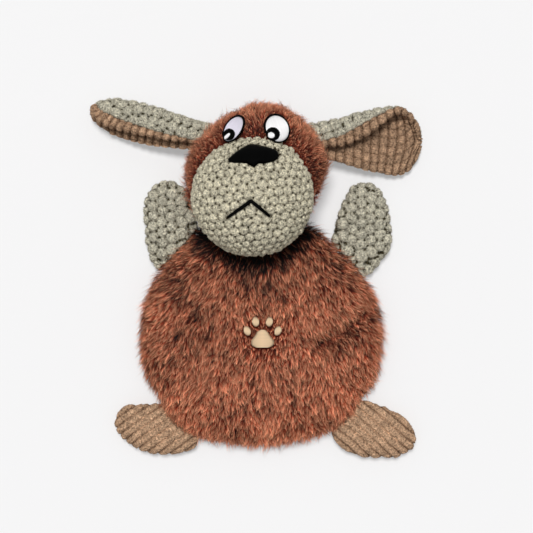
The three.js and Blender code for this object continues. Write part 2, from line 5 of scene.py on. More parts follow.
import bpy
import numpy as np
from mathutils.kdtree import KDTree
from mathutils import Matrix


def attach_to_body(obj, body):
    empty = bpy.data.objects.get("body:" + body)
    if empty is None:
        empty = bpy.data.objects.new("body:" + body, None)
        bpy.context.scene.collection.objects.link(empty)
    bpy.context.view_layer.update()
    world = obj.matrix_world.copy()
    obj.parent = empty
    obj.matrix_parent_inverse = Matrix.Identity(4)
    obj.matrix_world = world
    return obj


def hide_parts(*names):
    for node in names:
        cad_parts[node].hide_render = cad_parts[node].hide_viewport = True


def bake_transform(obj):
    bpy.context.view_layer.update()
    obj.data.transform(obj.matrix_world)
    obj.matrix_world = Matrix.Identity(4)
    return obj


bl_info = {
    "name": "Squeaky Dog Toy",
    "version": (1, 0, 0),
    "blender": (4, 5, 0),
    "location": "View3D > Sidebar > Dog Toy",
    "description": "Makes a flat plush dog toy with long fur, bobble cloth and cord cloth",
    "category": "Object",
}

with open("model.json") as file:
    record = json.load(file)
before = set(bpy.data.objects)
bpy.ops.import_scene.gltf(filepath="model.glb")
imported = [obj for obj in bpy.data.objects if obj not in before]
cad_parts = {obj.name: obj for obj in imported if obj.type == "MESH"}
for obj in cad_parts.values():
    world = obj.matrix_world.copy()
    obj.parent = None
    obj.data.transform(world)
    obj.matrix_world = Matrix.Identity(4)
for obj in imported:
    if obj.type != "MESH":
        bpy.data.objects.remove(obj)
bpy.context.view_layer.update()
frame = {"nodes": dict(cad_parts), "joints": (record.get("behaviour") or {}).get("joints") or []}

# A clearance in metres, and a number that stands in for zero where something is divided by it
REST_GAP = 0.0003
SMALL = 1e-9

# Limbs: how full they are at the root, as a share, the powers of their outline and of their swell, and
# in metres how far the root reaches, how high the seam lies and how far they swell above and below it
LIMB_ROOT_SHARE = 0.5
LIMB_CORNER = 2.25
LIMB_PUFF = 2.3
LIMB_TAPER_REACH = 0.022
LIMB_SEAM = 0.007
LIMB_CROWN = 0.007
LIMB_BELLY = 0.0075

# Ears: how each leaves the head and rests on the table, in metres and shares of its length
EAR_FOLD_RADIUS = 0.0050
EAR_ROOT_SINK = 0.012
EAR_ROOT_HEIGHT = 0.016
EAR_REST_HEIGHT = 0.0046
EAR_WIDE_FROM = 0.60
EAR_ROUND_FROM = 0.70
EAR_LEAST_LEAF = 0.002

PER_SQUARE_METRE = 1e6

# Where the random draws of each group of pieces start
SEEDS = {
    "body": 11, "head": 21, "muzzle": 31, "face": 41, "belly": 51, "left_ear": 61, "right_ear": 71,
    "left_arm": 81, "right_arm": 91, "left_leg": 101, "right_leg": 111,
}


def linear(screen):
    """A colour as Blender holds it, from the 0 to 255 values of a screen."""
    shares = [value / 255 for value in screen]
    return tuple(share / 12.92 if share <= 0.04045 else ((share + 0.055) / 1.055) ** 2.4 for share in shares)


def length_setting(name, words, default):
    return bpy.props.FloatProperty(
        name=name, description=words, default=default, min=0.0, unit="LENGTH", precision=5)


def colour_setting(name, words, screen):
    return bpy.props.FloatVectorProperty(
        name=name, description=words, default=linear(screen), size=3, min=0.0, max=1.0, subtype="COLOR")


class ToySizes(bpy.types.PropertyGroup):
    fur_length: length_setting("Fur Length", "Length of a hair on the body", 0.0080)
    head_fur_length: length_setting("Head Fur Length", "Length of a hair on the head", 0.0072)
    fur_width: length_setting("Hair Width", "Width of a hair at its root", 0.00031)
    fur_per_area: bpy.props.FloatProperty(
        name="Fur Density", description="Hairs on each square millimetre", default=2.6, min=0.1)
    fur_depth: length_setting("Fur Depth", "How deep the cloth lies under the fur", 0.0036)
    bobble_pitch: length_setting("Bobble Pitch", "Distance between two bobbles", 0.0076)
    muzzle_pitch: length_setting("Muzzle Bobble Pitch", "Distance between two muzzle bobbles", 0.0066)
    bobble_height: length_setting("Bobble Height", "How far a bobble stands up", 0.0028)
    rib_pitch: length_setting("Rib Pitch", "Distance between two ribs of the cord cloth", 0.0053)
    ear_rib_pitch: length_setting("Ear Rib Pitch", "Distance between two ribs on an ear lining", 0.0063)
    rib_height: length_setting("Rib Height", "How far a rib stands up", 0.0021)
    stitch_pitch: length_setting("Stitch Pitch", "Distance between two satin stitches", 0.00048)
    grid_step: length_setting("Grid Step", "Size of a face on the bobble and cord cloth", 0.00055)


class ToyColours(bpy.types.PropertyGroup):
    fur_root: colour_setting("Fur Root", "Hair colour at the skin", (64, 12, 6))
    fur_middle: colour_setting("Fur Middle", "Hair colour halfway", (144, 57, 36))
    fur_tip: colour_setting("Fur Tip", "Hair colour at the tip", (236, 170, 130))
    fur_backing: colour_setting("Fur Backing", "Colour of the knitted ground of the fur", (82, 33, 24))
    # The gap and groove colours below are painted shade, drawn where a cloth lies low between its bobbles or
    # ribs
    bobble_top: colour_setting("Bobble", "Bobble cloth on its tops", (194, 189, 171))
    bobble_gap: colour_setting("Bobble Gap", "Bobble cloth between the bobbles", (60, 54, 38))
    muzzle_top: colour_setting("Muzzle", "Muzzle cloth on its tops", (210, 203, 180))
    muzzle_gap: colour_setting("Muzzle Gap", "Muzzle cloth between the bobbles", (54, 46, 29))
    cord_top: colour_setting("Cord", "Cord cloth on its ribs", (187, 153, 124))
    cord_gap: colour_setting("Cord Groove", "Cord cloth in its grooves", (72, 44, 26))
    black_thread: colour_setting("Black Thread", "Nose, mouth, pupils and eye outlines", (2, 2, 2))
    left_white: colour_setting("Left Eye", "Satin stitches of the left eye", (228, 224, 236))
    right_white: colour_setting("Right Eye", "Satin stitches of the right eye", (255, 254, 255))
    cream_thread: colour_setting("Cream Thread", "Stitched paw on the belly", (236, 208, 172))
    nylon: colour_setting("Squeaker Plastic", "Discs and bellows of the squeaker", (232, 228, 216))
    brass: colour_setting("Reed", "Metal reed of the whistle", (190, 156, 96))
    floor: colour_setting("Floor", "Tabletop under the toy", (246, 246, 247))


# Stuffed forms

class Form:
    """An outline in plan that swells up and down from its seam."""

    def __init__(self, centre, size, seam, crown, belly, corner, puff, lumps, turn=0.0, root=None, out=None):
        self.centre = np.array(centre, float)
        self.half = np.array(size, float) / 2
        self.seam = seam
        self.crown = crown
        self.belly = belly
        self.corner = corner
        self.puff = puff
        self.turn = turn
        self.root = root
        self.out = out
        self.lumps = lumps

    def to_plan(self, local):
        return spun(local, self.turn) + self.centre

    def to_local(self, plan):
        return spun(plan - self.centre, -self.turn)

    def fullness(self, plan):
        """1 over the whole form, and less near the root of a limb."""
        if self.root is None:
            return np.ones(plan.shape[:-1])
        from_root = (plan - self.root) @ self.out
        return LIMB_ROOT_SHARE + (1 - LIMB_ROOT_SHARE) * smooth_share(from_root, 0, LIMB_TAPER_REACH)

    def lumpy(self, outline):
        """Local points of the outline, pushed out or in where the stuffing does so."""
        size = np.maximum(np.linalg.norm(outline, axis=-1), SMALL)
        return outline * (1 + self.lump_at(outline) / size)[..., None]

    def lump_at(self, local):
        degrees, reach = zip(*self.lumps)
        angle = np.degrees(np.arctan2(local[..., 1], local[..., 0]) + self.turn)
        return np.interp(angle, degrees, reach, period=360)

    def share_at(self, plan, grow=0.0):
        """0 in the middle of the outline and 1 on it."""
        local = self.to_local(plan)
        share = ((abs(local) / (self.half + grow)) ** self.corner).sum(axis=-1) ** (1 / self.corner)
        size = np.maximum(np.linalg.norm(local, axis=-1), SMALL)
        return share / (1 + self.lump_at(local) * share / size)

    def top(self, plan, grow=0.0):
        """Height of the upper side over a point in plan."""
        share = np.minimum(self.share_at(plan, grow), 1)
        puff = (1 - share ** self.puff) ** (1 / self.puff)
        return self.seam + (self.crown + grow) * puff * self.fullness(plan)

    def holds(self, points, grow=0.0):
        """Whether each point lies inside the form grown by that much."""
        plan = points[..., :2]
        share = self.share_at(plan, grow)
        puff = (1 - np.minimum(share, 1) ** self.puff) ** (1 / self.puff)
        rise = points[..., 2] - self.seam
        above = rise < (self.crown + grow) * puff
        below = -rise < (self.belly + grow) * puff
        return (share < 1) & above & below


def rim_spot(form, degrees):
    """A point on the seam of a form and the direction straight out from it, in plan."""
    c, s = math.cos(math.radians(degrees)), math.sin(math.radians(degrees))
    power = 2 / form.corner
    across = math.copysign(abs(c) ** power, c)
    along = math.copysign(abs(s) ** power, s)
    spot = form.centre + form.half * np.array([across, along])
    out = np.array([
        math.copysign(abs(across) ** (form.corner - 1), c) / form.half[0],
        math.copysign(abs(along) ** (form.corner - 1), s) / form.half[1],
    ])
    return spot, out / np.linalg.norm(out)


# How far the stuffing pushes each outline out or in, in metres, at angles round it in degrees
LUMPS = {
    "body": [
        (0, -0.0018), (8, -0.0025), (24, -0.0014), (32, -0.0030), (48, -0.0024), (56, 0.0014), (62, 0.0055),
        (72, 0.0070), (82, 0.004), (104, 0.004), (112, 0.0062), (121, 0.0080), (128, 0.0030), (136, 0.0008),
        (144, 0.0006), (176, -0.0008), (200, 0.0), (208, -0.0025),
        (224, 0.0014), (240, 0.002), (248, -0.0015), (280, -0.001), (296, -0.0025), (304, -0.0002),
        (320, -0.0018), (328, -0.0040), (336, -0.0020), (344, -0.0012), (352, -0.0034),
    ],
    "head": [
        (0, -0.0025), (10, -0.0007), (40, -0.001), (56, -0.0005), (72, 0.0015), (88, 0.0), (104, -0.002),
        (120, -0.003), (136, -0.004), (146, -0.004), (160, -0.0012), (184, 0.001), (220, 0.0),
        (300, -0.003), (330, -0.0055), (344, -0.005), (352, -0.0035),
    ],
    "muzzle": [
        (0, 0.0012), (25, 0.002), (40, 0.003), (55, 0.004), (72, 0.0038), (90, 0.0020),
        (120, 0.0014), (180, 0.0007),
        (230, 0.0), (310, 0.0006),
    ],
    "left_arm": [
        (0, -0.003), (30, -0.002), (60, -0.001), (82, 0.0), (95, 0.0022), (110, 0.002), (120, 0.0015),
        (136, -0.0007), (154, -0.0025), (172, -0.0028), (190, -0.0022), (226, -0.0022), (244, -0.0025),
        (300, -0.002),
    ],
    "right_arm": [
        (0, 0.001), (15, -0.0007), (39, -0.0014), (57, -0.0014), (80, 0.0007), (100, 0.0), (111, -0.004),
        (129, -0.004), (147, -0.003), (180, -0.002), (220, -0.001), (300, -0.003), (315, 0.0), (345, 0.002),
    ],
    "left_leg": [
        (0, 0.0), (60, -0.003), (90, -0.0052), (110, -0.006), (130, -0.0075), (140, -0.006), (150, -0.003),
        (160, -0.0015), (175, 0.0), (200, -0.0015), (215, -0.001), (250, 0.0), (290, -0.001), (310, -0.001),
        (330, 0.001),
    ],
    "right_leg": [
        (0, -0.0014), (20, -0.002), (40, -0.004), (60, -0.0025), (90, -0.003), (150, 0.0), (210, 0.0025),
        (230, 0.0015), (245, 0.0015), (260, 0.0), (280, -0.0014), (295, -0.0029),
        (310, -0.001), (320, -0.002),
        (335, 0.001), (350, 0.001),
    ],
}

BODY = Form(
    centre=(0, 0), size=(0.176, 0.158), seam=0.009, crown=0.021, belly=0.0095,
    corner=2.15, puff=2.5, lumps=LUMPS["body"])
HEAD = Form(
    centre=(-0.0034, 0.1145), size=(0.101, 0.101), seam=0.032, crown=0.031, belly=0.0325,
    corner=2.0, puff=2.15, lumps=LUMPS["head"])
MUZZLE = Form(
    centre=(-0.0067, 0.0985), size=(0.083, 0.081), seam=0.044, crown=0.033, belly=0.024,
    corner=2.0, puff=2.2, lumps=LUMPS["muzzle"])


def limb(name, size, seam_degrees, reach, slide, spin):
    """A limb sewn to the body at an angle round it, moved out and toward the head, then turned."""
    root, out = rim_spot(BODY, seam_degrees)
    side = math.copysign(1, out[0])
    headward = np.array([-out[1] * side, out[0] * side])
    turn = math.atan2(out[1], out[0]) + math.radians(spin - 90)
    centre = root + out * reach + headward * slide
    return Form(
        centre, size, LIMB_SEAM, LIMB_CROWN, LIMB_BELLY, LIMB_CORNER, LIMB_PUFF, LUMPS[name], turn, root, out)


ARM_SIZE = (0.044, 0.072)
LEG_SIZE = (0.041, 0.063)
LIMBS = {
    "left_arm": limb("left_arm", ARM_SIZE, seam_degrees=137, reach=0.0140, slide=0.0146, spin=-38),
    "right_arm": limb("right_arm", ARM_SIZE, seam_degrees=43, reach=0.0184, slide=0.0099, spin=37),
    "left_leg": limb("left_leg", LEG_SIZE, seam_degrees=225, reach=0.0133, slide=0.0039, spin=-60),
    "right_leg": limb("right_leg", LEG_SIZE, seam_degrees=315, reach=0.0179, slide=0.0058, spin=28),
}


# Points on surfaces

# Between which shares of its wavelength each wave of a noise lies
WAVE_SPREAD = (0.7, 1.6)

# Points along the curve from a form's middle to its rim, and the fewest faces across a form
MERIDIAN_POINTS = 400
LEAST_FACES = 12

# How a form's skin is laid out for baking: what its width is divided by, the edge left free, and
# where its lower half starts
SKIN_SPANS = np.array([4.1, 2.05])
SKIN_EDGES = np.array([0.005, 0.01])
LOWER_START = np.array([0.5, 0])


def smooth_share(value, low, high):
    share = np.clip((value - low) / (high - low), 0, 1)
    return share * share * (3 - 2 * share)


def spun(plan, angle):
    """Plan points turned round the origin."""
    c, s = math.cos(angle), math.sin(angle)
    return np.stack([plan[..., 0] * c - plan[..., 1] * s, plan[..., 0] * s + plan[..., 1] * c], axis=-1)


def waves(points, wavelength, seed, count=12):
    """Smooth noise, mostly between -1 and 1."""
    rng = np.random.default_rng(seed)
    total = np.zeros(len(points))
    for _ in range(count):
        direction = rng.normal(size=points.shape[1])
        direction /= np.linalg.norm(direction)
        rate = 2 * math.pi / (wavelength * rng.uniform(*WAVE_SPREAD))
        total += np.sin(points @ (direction * rate) + rng.uniform(0, 2 * math.pi))
    return total / math.sqrt(2 * count)


def unit(vectors):
    size = np.linalg.norm(vectors, axis=-1, keepdims=True)
    return vectors / np.maximum(size, SMALL)


def diagonal_cross(points, quads):
    """The cross product of each face's diagonals: twice its area, along its normal."""
    a, b, c, d = (points[quads[:, corner]] for corner in range(4))
    return np.cross(c - a, d - b)


def face_areas(points, quads):
    return np.linalg.norm(diagonal_cross(points, quads), axis=1) / 2


def vertex_normals(points, quads):
    cross = diagonal_cross(points, quads)
    total = np.zeros_like(points)
    for corner in range(4):
        for axis in range(3):
            total[:, axis] += np.bincount(quads[:, corner], cross[:, axis], len(points))
    return unit(total)


def grid_quads(index):
    """Faces of a grid of point numbers."""
    return np.stack([index[:-1, :-1], index[1:, :-1], index[1:, 1:], index[:-1, 1:]], axis=-1).reshape(-1, 4)


def meridian(form, side, inset, reach):
    """Plan share and height at shares of the way from a form's middle to its rim, and that way's length."""
    angle = np.linspace(math.pi / 2, 0, MERIDIAN_POINTS)
    share = np.cos(angle) ** (2 / form.puff)
    rise = (form.crown if side > 0 else form.belly) - inset
    height = rise * np.sin(angle) ** (2 / form.puff)
    if side < 0:
        height = np.minimum(height, form.seam - inset)
    radius = form.half.mean() - inset
    run = np.concatenate([[0], np.cumsum(np.hypot(np.diff(radius * share), np.diff(height)))])
    return np.interp(reach * run[-1], run, share), np.interp(reach * run[-1], run, height), run[-1]


def form_skin(form, inset, step):
    """The skin of a form as two square grids that share their edge."""
    longest = meridian(form, 1, inset, np.array([1.0]))[2]
    count = max(LEAST_FACES, int(2 * longest / step)) + 1
    line = np.linspace(-1, 1, count)
    a, b = np.meshgrid(line, line, indexing="ij")
    reach = np.maximum(abs(a), abs(b))
    wide = abs(a) >= abs(b)
    safe_a = np.where(a == 0, SMALL, a)
    safe_b = np.where(b == 0, SMALL, b)
    angle = np.where(wide, math.pi / 4 * b / safe_a, math.pi / 2 - math.pi / 4 * a / safe_b)
    angle = angle + math.pi * np.where(wide, a < 0, b < 0)
    power = 2 / form.corner
    c, s = np.cos(angle), np.sin(angle)
    outline = np.stack([np.sign(c) * abs(c) ** power, np.sign(s) * abs(s) ** power], axis=-1)
    outline = form.lumpy(outline * (form.half - inset))
    layers = []
    for side in (1, -1):
        share, height, run = meridian(form, side, inset, reach)
        local = outline * share[..., None]
        plan = form.to_plan(local)
        z = form.seam + side * height * form.fullness(plan)
        plain_run = np.maximum(share * (form.half.mean() - inset), SMALL)
        scale = np.where(share > SMALL, reach * run / plain_run, 1)
        layers.append({
            "points": np.concatenate([plan, z[..., None]], axis=-1).reshape(-1, 3),
            "flat": (local * scale[..., None]).reshape(-1, 2),
            "to_rim": ((1 - reach) * run).reshape(-1),
        })
    upper = np.arange(count ** 2).reshape(count, count)
    inner = np.flatnonzero(reach.reshape(-1) < 1)
    lower = upper.copy().reshape(-1)
    lower[inner] = upper.size + np.arange(len(inner))
    lower = lower.reshape(upper.shape)
    joined = {
        key: np.concatenate([layers[0][key], layers[1][key][inner]])
        for key in ("points", "flat", "to_rim")
    }
    upper_quads = grid_quads(upper)
    joined["upper"] = np.arange(len(joined["points"])) < upper.size
    joined["quads"] = np.concatenate([upper_quads, grid_quads(lower)[:, ::-1]])
    joined["upper_quads"] = len(upper_quads)
    spots = ((np.stack([a, b], axis=-1) + 1) / SKIN_SPANS + SKIN_EDGES).reshape(-1, 2)
    lower_spots = (spots + LOWER_START)[upper_quads[:, ::-1]]
    joined["spots"] = np.concatenate([spots[upper_quads], lower_spots]).reshape(-1, 2)
    joined["normals"] = vertex_normals(joined["points"], joined["quads"])
    return joined


# How finely a joint's range is tried, and how blocked points look for a clear place: by what step, how
# far off in metres, and by how many halvings of the last step
SWEEP_POINTS = 9
CLEAR_STEP = 0.0005
CLEAR_REACH = 0.05
CLEAR_HALVINGS = 6


def turned(points, joint, degrees):
    """Points as the joint's child carries them at that angle."""
    axis = np.array(joint["axis"], float)
    axis /= np.linalg.norm(axis)
    at = np.array(joint["pos_m"], float)
    angle = math.radians(degrees)
    away = points - at
    along = (away @ axis)[..., None] * axis
    cosine, sine = math.cos(angle), math.sin(angle)
    return at + away * cosine + np.cross(axis, away) * sine + along * (1 - cosine)


def swept_by(form, joint_name, grow):
    """A test for the space that a form takes up as seen from the joint's child over its whole range."""
    joint = next(joint for joint in frame["joints"] if joint["name"] == joint_name)
    low, high = joint["range_deg"]
    turns = np.linspace(low, high, SWEEP_POINTS).tolist() + [0.0]

    def blocked(points):
        found = np.zeros(len(points), bool)
        for degrees in turns:
            found |= form.holds(turned(points, joint, degrees), grow)
        return found
    return blocked


def push_clear(points, direction, blocked):
    """Blocked points move along direction to where they are clear, so that a root ends in a closed face."""
    inside = blocked(points)
    if not inside.any():
        return points
    stuck = points[inside]
    low = np.zeros(len(stuck))
    for travelled in np.arange(0, CLEAR_REACH, CLEAR_STEP):
        low = np.where(blocked(stuck + direction * travelled), travelled, low)
    high = low + CLEAR_STEP
    for _ in range(CLEAR_HALVINGS):
        middle = (low + high) / 2
        still = blocked(stuck + direction * middle[:, None])
        low = np.where(still, middle, low)
        high = np.where(still, high, middle)
    moved = points.copy()
    moved[inside] = stuck + direction * high[:, None]
    return moved


# Points whose distances to all sites are held at one time
PART_SIZE = 20000

# Rows of bobbles: how far past the skin they are laid, how far apart as a share of the pitch, and how
# uneven their spots are
LATTICE_REACH_SHARE = 1.5
ROW_SHARE = 0.87
UNEVEN_SHARE = 0.05

# Bobbles stand this near to a point of the skin, and no nearer to each other and no further apart than
# these shares of the pitch. The last is tried at one of so many points
SITE_OFF_SHARE = 0.25
SITE_LEAST_SHARE = 0.7
SITE_MOST_SHARE = 0.78
SITE_TRIED_EVERY = 11


def squared_gaps(points, sites):
    """Squared distances from each point to all sites, one part of the points at a time."""
    for start in range(0, len(points), PART_SIZE):
        part = points[start:start + PART_SIZE]
        yield (part ** 2).sum(1)[:, None] + (sites ** 2).sum(1) - 2 * part @ sites.T


def nearest_site(points, sites):
    """Distance to the nearest site and its number, for each point."""
    kept = []
    for gap in squared_gaps(points, sites):
        kept.append((np.sqrt(np.maximum(gap.min(axis=1), 0)), gap.argmin(axis=1)))
    return [np.concatenate(part) for part in zip(*kept)]


def cells(points, sites):
    """For each point: its site, the distance to it, and how far off are the border with the next site and
    the corner where a third one joins."""
    kept = []
    for gap in squared_gaps(points, sites):
        nearest = np.argpartition(gap, 2, axis=1)[:, :3]
        found = np.take_along_axis(gap, nearest, 1)
        order = found.argsort(axis=1)
        nearest = np.take_along_axis(nearest, order, 1)
        first, second, third = np.take_along_axis(found, order, 1).T
        apart = np.linalg.norm(sites[nearest[:, 0]] - sites[nearest[:, 1]], axis=1)
        away = np.sqrt(np.maximum(first, 0))
        corner = np.sqrt(np.maximum(third, 0)) - away
        kept.append((nearest[:, 0], away, (second - first) / (2 * apart), corner))
    return [np.concatenate(part) for part in zip(*kept)]


def hex_lattice(low, high, pitch, turn, rng):
    """Spots in staggered rows, a little uneven."""
    reach = np.abs(np.concatenate([low, high])).max() * LATTICE_REACH_SHARE
    rows = int(reach / (pitch * ROW_SHARE)) + 1
    spots = []
    for row in range(-rows, rows + 1):
        shift = pitch / 2 if row % 2 else 0
        along = np.arange(-reach + shift, reach, pitch)
        spots.append(np.stack([along, np.full(len(along), row * pitch * ROW_SHARE)], axis=1))
    spots = np.concatenate(spots)
    c, s = math.cos(turn), math.sin(turn)
    spots = spots @ np.array([[c, s], [-s, c]])
    spots = spots + rng.normal(0, pitch * UNEVEN_SHARE, spots.shape)
    inside = ((spots > low) & (spots < high)).all(axis=1)
    return spots[inside]


def sites_on(skin, pitch, turn, rng):
    """Where the bobbles sit on a skin."""
    found = []
    for upper in np.unique(skin["upper"]):
        rows = np.flatnonzero(skin["upper"] == upper)
        flat = skin["flat"][rows]
        spots = hex_lattice(flat.min(axis=0), flat.max(axis=0), pitch, turn, rng)
        gap, near = nearest_site(spots, flat)
        found.append(skin["points"][rows[near[gap < pitch * SITE_OFF_SHARE]]])
    kept = []
    for spot in np.concatenate(found):
        if all(np.linalg.norm(spot - other) > pitch * SITE_LEAST_SHARE for other in kept):
            kept.append(spot)
    kept = np.array(kept)
    candidates = skin["points"][::SITE_TRIED_EVERY]
    gap, _ = nearest_site(candidates, kept)
    while gap.max() > pitch * SITE_MOST_SHARE:
        spot = candidates[gap.argmax()]
        kept = np.concatenate([kept, spot[None]])
        gap = np.minimum(gap, np.linalg.norm(candidates - spot, axis=1))
    return kept


# Meshes

def new_piece(name, points, quads, tris, material, values=None, spots=None, normals=None):
    """A mesh object from arrays. values are numbers kept on the points for the material to read."""
    mesh = bpy.data.meshes.new(name)
    quads = np.asarray(quads, int).reshape(-1, 4)
    tris = np.asarray(tris, int).reshape(-1, 3)
    corners = np.concatenate([quads.ravel(), tris.ravel()]).astype(np.int32)
    starts = np.concatenate([np.arange(len(quads)) * 4, len(quads) * 4 + np.arange(len(tris)) * 3])
    mesh.vertices.add(len(points))
    mesh.vertices.foreach_set("co", np.ascontiguousarray(points, np.float32).ravel())
    mesh.loops.add(len(corners))
    mesh.loops.foreach_set("vertex_index", corners)
    mesh.polygons.add(len(starts))
    mesh.polygons.foreach_set("loop_start", starts.astype(np.int32))
    mesh.update(calc_edges=True)
    mesh.shade_smooth()
    for key, numbers in (values or {}).items():
        layer = mesh.attributes.new(key, "FLOAT", "POINT")
        layer.data.foreach_set("value", np.ascontiguousarray(numbers, np.float32))
    if spots is not None:
        bake = mesh.uv_layers.new(name="OFBake")
        bake.uv.foreach_set("vector", np.ascontiguousarray(spots, np.float32).ravel())
    mesh.materials.append(material)
    if normals is not None:
        mesh.normals_split_custom_set_from_vertices(normals.tolist())
    piece = bpy.data.objects.new(name, mesh)
    bpy.context.scene.collection.objects.link(piece)
    return piece


# Layout for baking of hairs and threads: the edge left free, the length used, half the width of one,
# and for threads the edge and the width used
SPOT_EDGE = 0.02
SPOT_LENGTH = 0.96
SPOT_HALF = 0.004
TONE_EDGE = 0.05
TONE_WIDTH = 0.9

# Points of a hair, and its width at its middle as a share of that at its root
HAIR_POINTS = 5
HAIR_MIDDLE_SHARE = 0.9

# Sides of a thread
THREAD_SIDES = 6


def scattered(points, quads, count, rng):
    """Spots spread evenly over faces: the face of each and its place in it."""
    ends = np.cumsum(face_areas(points, quads))
    marks = (np.arange(count) + rng.uniform(0, 1, count)) / count * ends[-1]
    faces = np.minimum(np.searchsorted(ends, marks), len(quads) - 1)
    return faces, rng.uniform(0, 1, (count, 2))


def in_faces(numbers, quads, faces, place):
    """Numbers kept on points, blended to a place inside each face."""
    u, v = place[:, 0], place[:, 1]
    if numbers.ndim > 1:
        u, v = u[:, None], v[:, None]
    a, b, c, d = (numbers[quads[faces, corner]] for corner in range(4))
    return a * (1 - u) * (1 - v) + b * u * (1 - v) + c * u * v + d * (1 - u) * v


def blades(name, material, roots, middles, tips, widths, sideways, facing, shades, softness):
    """Hairs as narrow strips that end in a point."""
    count = len(roots)
    half = sideways * (widths[:, None] / 2)
    middle_half = half * HAIR_MIDDLE_SHARE
    corners = [roots - half, roots + half, middles + middle_half, middles - middle_half, tips]
    points = np.stack(corners, axis=1)
    base = np.arange(count)[:, None] * HAIR_POINTS
    quads = base + np.array([0, 1, 2, 3])
    tris = base + np.array([3, 2, 4])
    across = np.clip(shades, 0, 1)[:, None] * SPOT_LENGTH + SPOT_EDGE
    spots = []
    root_half = ((-1, 1, 1, -1), (SPOT_EDGE, SPOT_EDGE, 0.5, 0.5))
    tip_half = ((-1, 1, 0), (0.5, 0.5, 1 - SPOT_EDGE))
    for sides, ends in (root_half, tip_half):
        u = across + np.array(sides) * SPOT_HALF
        spots.append(np.stack([u, np.tile(ends, (count, 1))], axis=-1).reshape(-1, 2))
    axis = unit(tips - roots)
    face_normal = unit(np.cross(axis, sideways))
    face_normal *= np.sign((face_normal * facing).sum(axis=1, keepdims=True) + SMALL)
    soft = unit(face_normal * (1 - softness) + facing * softness)
    normals = np.repeat(soft, HAIR_POINTS, axis=0)
    values = {"along": np.tile([0.0, 0.0, 0.5, 0.5, 1.0], count), "shade": np.repeat(shades, HAIR_POINTS)}
    points = points.reshape(-1, 3)
    return new_piece(name, points, quads, tris, material, values, np.concatenate(spots), normals)


def tube(path, across, up, half_width, half_height):
    """A closed thread along a path: its points and faces."""
    rows = len(path)
    turns = np.linspace(0, 2 * math.pi, THREAD_SIDES, endpoint=False)
    ring = (
        across[:, None, :] * (np.cos(turns)[None, :, None] * half_width.reshape(-1, 1, 1))
        + up[:, None, :] * (np.sin(turns)[None, :, None] * half_height.reshape(-1, 1, 1))
    )
    points = (path[:, None, :] + ring).reshape(-1, 3)
    index = np.arange(rows * THREAD_SIDES).reshape(rows, THREAD_SIDES)
    quads = grid_quads(np.concatenate([index, index[:, :1]], axis=1))
    fans = []
    for corner in range(1, THREAD_SIDES - 1):
        fans.append([index[0, 0], index[0, corner], index[0, corner + 1]])
        fans.append([index[-1, 0], index[-1, corner + 1], index[-1, corner]])
    return points, quads, np.array(fans)


def joined_tubes(name, tubes, shades, material):
    """Many threads as one mesh, each with its own shade."""
    parts, squares, fans = zip(*tubes)
    sizes = [len(part) for part in parts]
    starts = np.cumsum([0, *sizes[:-1]])
    quads = np.concatenate([faces + start for faces, start in zip(squares, starts)])
    tris = np.concatenate([faces + start for faces, start in zip(fans, starts)])
    tone = np.repeat(shades, sizes)
    rows = [np.linspace(0, 1, size // THREAD_SIDES) for size in sizes]
    along = np.repeat(np.concatenate(rows), THREAD_SIDES)
    spots = []
    for faces in (quads, tris):
        width = np.linspace(-SPOT_HALF, SPOT_HALF, faces.shape[1])
        u = np.clip(tone[faces] * TONE_WIDTH + TONE_EDGE + width, 0, 1)
        spots.append(np.stack([u, along[faces] * SPOT_LENGTH + SPOT_EDGE], axis=-1).reshape(-1, 2))
    values = {"shade": tone, "along": along}
    return new_piece(name, np.concatenate(parts), quads, tris, material, values, np.concatenate(spots))


def inside_outline(plan, outline):
    """Whether each plan point lies inside a closed outline."""
    x, y = plan[:, 0], plan[:, 1]
    found = np.zeros(len(plan), bool)
    for (x0, y0), (x1, y1) in zip(outline, np.roll(outline, -1, axis=0)):
        crosses = (y0 > y) != (y1 > y)
        rise = y1 - y0 if abs(y1 - y0) > SMALL else SMALL
        found ^= crosses & (x < (x1 - x0) * (y - y0) / rise + x0)
    return found


def grown_outline(outline, by):
    middle = outline.mean(axis=0)
    away = outline - middle
    return middle + away * (1 + by / np.linalg.norm(away, axis=1, keepdims=True).mean())


# Stitches: how far the nose and eyes lie above their forms, how uneven the stitches' ends are, the
# points of one, the powers of its rounding, and its half width and half height as shares of the pitch
NOSE_LIFT = -0.0002
EYE_LIFT = -0.0005
STITCH_UNEVEN = 0.0002
STITCH_POINTS = 9
STITCH_POWERS = (4, 0.5)
STITCH_WIDTH_SHARE = 0.62
STITCH_HEIGHT_SHARE = 0.5


